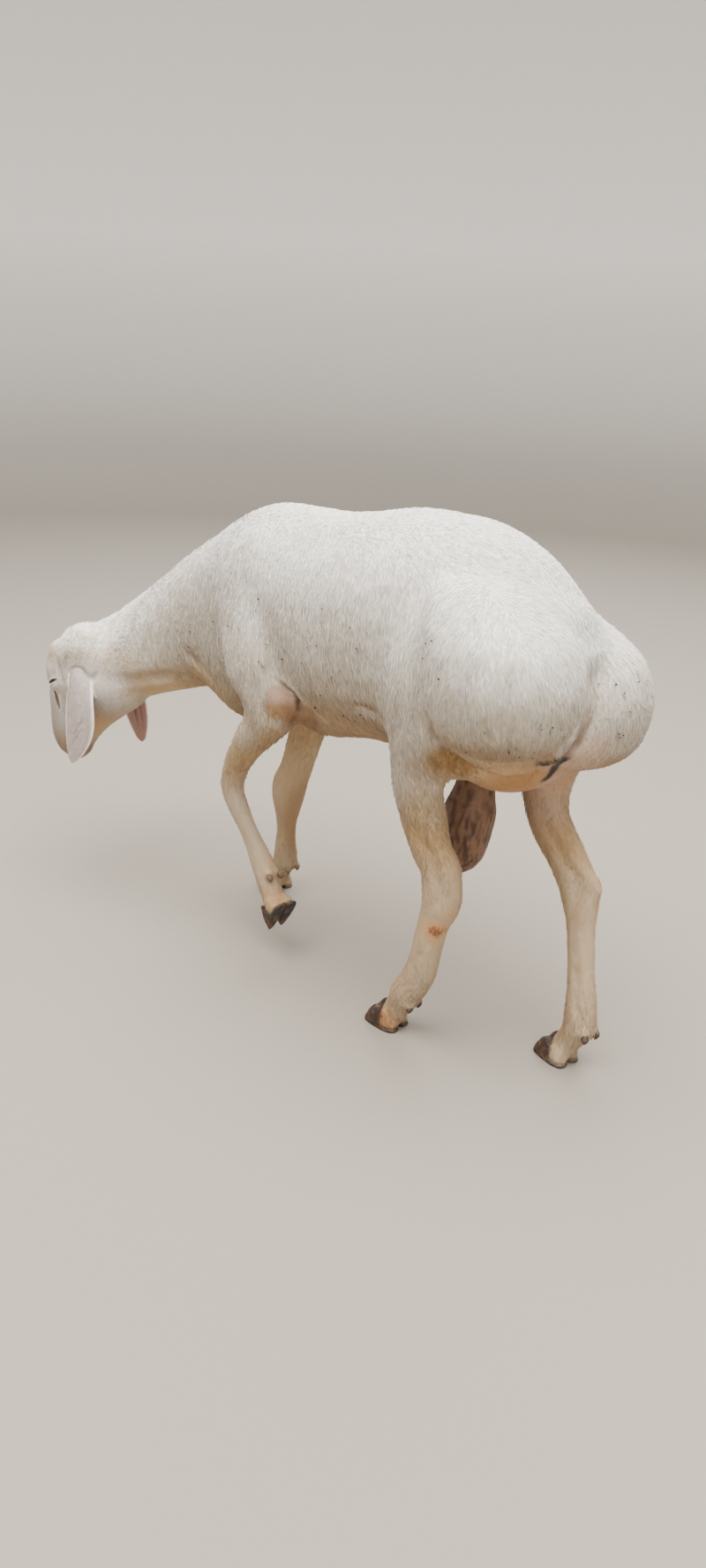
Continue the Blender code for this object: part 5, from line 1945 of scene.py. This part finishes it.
# ------------ studio
@dataclass
class Studio:
    """A plain pale floor that sweeps up behind, soft lights and the camera."""

    eye: tuple[float, float, float] = (1.4767, -1.3176, 1.05)
    heading: float = math.atan2(0.695, -0.719)
    pitch: float = math.radians(-20.65)
    roll: float = math.radians(2.5)
    lens: float = 28.36

    def camera(self) -> None:
        """Sets the camera up."""
        ahead = Vector((math.cos(self.pitch) * math.cos(self.heading),
                        math.cos(self.pitch) * math.sin(self.heading), math.sin(self.pitch)))
        right = ahead.cross(UP).normalized()
        up = right.cross(ahead)
        turned = right * math.cos(self.roll) + up * math.sin(self.roll)
        up = up * math.cos(self.roll) - right * math.sin(self.roll)
        data = bpy.data.cameras.new("camera")
        data.lens, data.sensor_width, data.clip_start = self.lens, 36.0, 0.05
        camera = bpy.data.objects.new("camera", data)
        frame = Matrix((turned, up, -ahead)).transposed().to_4x4()
        camera.matrix_world = Matrix.Translation(self.eye) @ frame
        bpy.context.scene.collection.objects.link(camera)
        bpy.context.scene.camera = camera

    def light(self, name: str, place: tuple, aim: tuple, size: float, power: float, colour: str) -> None:
        """Adds one soft square light.

        Args:
            name: the light's name.
            place: where it hangs.
            aim: the point that it faces.
            size: the length of its sides.
            power: in watts.
            colour: a hex colour.
        """
        data = bpy.data.lights.new(name, "AREA")
        data.shape, data.size, data.energy, data.color = "SQUARE", size, power, linear(colour)
        lamp = bpy.data.objects.new(name, data)
        lamp.location = place
        lamp.rotation_euler = (Vector(aim) - Vector(place)).to_track_quat("-Z", "Y").to_euler()
        bpy.context.scene.collection.objects.link(lamp)

    def floor(self) -> None:
        """A wide disc, pale and matt, with a rim that rises far behind."""
        bm = bmesh.new()
        rings = []
        for radius, height in ((0, 0), (2.5, 0), (5.0, 0), (6.0, 0.25), (6.8, 1.0), (7.2, 2.5), (7.3, 5.0)):
            if radius == 0:
                rings.append([bm.verts.new((0, 0, 0))])
                continue
            rings.append([bm.verts.new((radius * math.cos(t), radius * math.sin(t), height))
                          for t in np.linspace(0, 2 * math.pi, 64, endpoint=False)])
        for a, b in zip(rings, rings[1:]):
            for k in range(64):
                if len(a) == 1:
                    bm.faces.new((a[0], b[k], b[(k + 1) % 64]))
                else:
                    bm.faces.new((a[k], b[k], b[(k + 1) % 64], a[(k + 1) % 64]))
        floor = add_object("floor", mesh_from_bmesh("floor", bm))
        floor.data.shade_smooth()
        floor.data.materials.append(FloorPaint("painted_floor").material())

    def build(self) -> None:
        """Sets the room, lights and camera up."""
        self.floor()
        self.camera()
        self.light("key", (0.4, -0.5, 4.0), (0.1, 0, 0.4), 4.4, 650, "#FFFBF4")
        self.light("fill", (3.2, -1.6, 1.8), (0.2, 0, 0.4), 2.4, 35, "#F7F6F4")
        self.light("back", (-1.6, 2.6, 3.0), (0, 0, 0.4), 2.4, 90, "#FFFFFF")
        world = bpy.data.worlds.new("studio")
        bpy.context.scene.world = world
        world.use_nodes = True
        background = world.node_tree.nodes["Background"]
        background.inputs["Color"].default_value = (0.98, 0.98, 1.0, 1)
        background.inputs["Strength"].default_value = 0.5


# ------------ the ram
@dataclass
class Ram:
    """The whole animal."""

    fleece: int = 190000               # tufts in each square metre
    leg_hair: int = 120000
    scrotum_hair: int = 60000
    neck_end: float = 0.09             # how far into the trunk the neck's coat reaches
    tail_start: float = 0.8           # share of the trunk's length
    looks: dict = field(default_factory=lambda: {        # of the claws: toe, rust and bulb
        "front_left": ("#262120", "#75452A", "#5D4A3A"), "front_right": ("#3A3029", "#6B4A33", "#8D7860"),
        "hind_left": ("#2E221B", "#5E3A22", "#6E4626"), "hind_right": ("#33271F", "#77432A", "#8D7A66")})
    dewclaws: dict = field(default_factory=lambda: {
        "front_left": "#6A5442", "front_right": "#7A6650", "hind_left": "#2F2520", "hind_right": "#2F2520"})

    def __post_init__(self) -> None:
        """Makes the finishes."""
        self.head = Head()
        self.markings = Markings(self.head)
        self.wool = Hair("shorn_wool").material()
        self.under = Hair("wool_stubble", streak=0.8 * MM).material()
        self.short = Hair("short_hair", roughness=0.7, streak=0.5 * MM).material()
        self.bare = BareSkin("thin_skin", glow=0.15).material()
        self.horn = Horn("hoof_keratin").material()
        self.wet = WetEye("wet_eye").material()

    def dress_skin(self) -> None:
        """Colours the skin and gives each kind of hide its finish."""
        obj = self.skin.obj
        surface = Surface(obj.data)
        kinds = self.skin.kinds(surface.points)
        self.markings.scatter_flecks(surface.points, surface.normals())
        obj.data.materials.clear()
        dress(obj, self.skin.colour(surface, kinds), self.under)
        obj.data.materials.append(self.short)
        obj.data.materials.append(self.bare)
        slots = {Hide.FLEECE: 0, Hide.FACE: 1, Hide.LEG: 1, Hide.BARE: 2, Hide.EAR: 2}
        table = np.array([slots[hide] for hide in Hide], np.int32)
        first = read(obj.data.polygons, "loop_start", 1, np.int32)[:, 0]
        corner = read(obj.data.loops, "vertex_index", 1, np.int32)[:, 0]
        obj.data.polygons.foreach_set("material_index", table[kinds[corner[first]]])
        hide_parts(*NODES)

    def grow_coat(self) -> None:
        """Grows the fleece and the hair, piece by piece."""
        coat = Coat(self.skin, self.markings)
        middle, kind = coat.middles, coat.face_kinds
        x = middle[:, 0]
        fleece = kind == Hide.FLEECE.value
        low, high = box_of("trunk")
        cuts = np.linspace(low[0] + self.neck_end, low[0] + self.tail_start * (high[0] - low[0]), 4)
        neck, lobes = fleece & (x < cuts[0]), fleece & (x > cuts[-1])
        trunk = fleece & ~neck & ~lobes
        for sign, side in SIDES:
            half = middle[:, 1] * sign >= 0
            parts = [(name, 20 + 3 * sign + k, trunk & half & (x >= cuts[k]) & (x < cuts[k + 1]))
                     for k, name in enumerate(("shoulder", "barrel", "rump"))]
            parts += [("neck", 11 + sign, neck & half), ("tail", 40 + sign, lobes & half)]
            for name, seed, part in parts:
                coat.grow(Tufts(f"coat_{name}_{side}", self.fleece, seed), part.astype(float), self.wool)
        face = self.bare_eyes_and_lips(middle) * (kind == Hide.FACE.value)
        coat.grow(Tufts("coat_face", self.fleece, 51, lift=16, stray=16, clump=0.5, lock=4 * MM,
                        slot="face_hair"), face, self.wool)
        down, _, ahead = self.head.local(middle).T
        poll = (kind == Hide.FACE.value) * ramp(down, 0.085, 0.06) * ramp(ahead, -0.05, -0.01)
        coat.grow(Tufts("coat_poll", self.leg_hair, 52, lift=19, stray=24, clump=0.3, lock=5 * MM), poll,
                  self.wool)
        for k, leg in enumerate(LEGS):
            part = (kind == Hide.LEG.value) & in_box(middle, f"leg_{leg}", 0.01)
            coat.grow(Tufts(f"coat_leg_{leg}", self.leg_hair, 60 + k, lift=15, stray=12, lock=4 * MM,
                            slot="leg_hair"), part.astype(float), self.wool)
        scrotum = (kind == Hide.BARE.value).astype(float)
        coat.grow(Tufts("coat_scrotum", self.scrotum_hair, 71, lift=12, slot="scrotum_skin"), scrotum,
                  self.wool, tint=lambda places, _: scrotum_tint(places, "#80624C", "#2E2018", 0.8))

    def bare_eyes_and_lips(self, places: Array) -> Array:
        """How densely hair grows on the face: none on eyes, tear glands and lips.

        Args:
            places: the middles of the skin's triangles.

        Returns:
            From 0 to 1 for each.
        """
        share = np.ones(len(places))
        for side, _ in SIDES:
            share *= ramp(gap(places, self.head.eye(side)), 0.017, 0.022)
            far, _ = from_path(places, self.head.path(TEAR, side))
            share *= ramp(far, 5 * MM, 8 * MM)
        return share * ramp(self.head.local(places)[:, 0], 0.262, 0.245)

    def build(self) -> None:
        """Builds the ram."""
        self.skin = Skin(self.head, self.markings)
        self.skin.build()
        self.dress_skin()
        self.grow_coat()
        Crumbs(self.markings).build(self.horn)
        for sign, side in SIDES:
            Eye(self.head, self.skin, sign, f"eye_{side}").build(self.wet)
            Lashes(self.skin, sign, f"lashes_{side}").build(self.wool)
        for leg in LEGS:
            for _, side in SIDES:
                Claw(f"claw_{leg}_{side}", *self.looks[leg]).build(self.horn)
                Dewclaw(f"dewclaw_{leg}_{side}", self.dewclaws[leg]).build(self.horn)


def main() -> None:
    """Builds the ram and the studio, and reports each piece."""
    for obj in list(bpy.data.objects):
        bpy.data.objects.remove(obj)
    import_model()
    Ram().build()
    Studio().build()


if __name__ == "__main__":
    main()
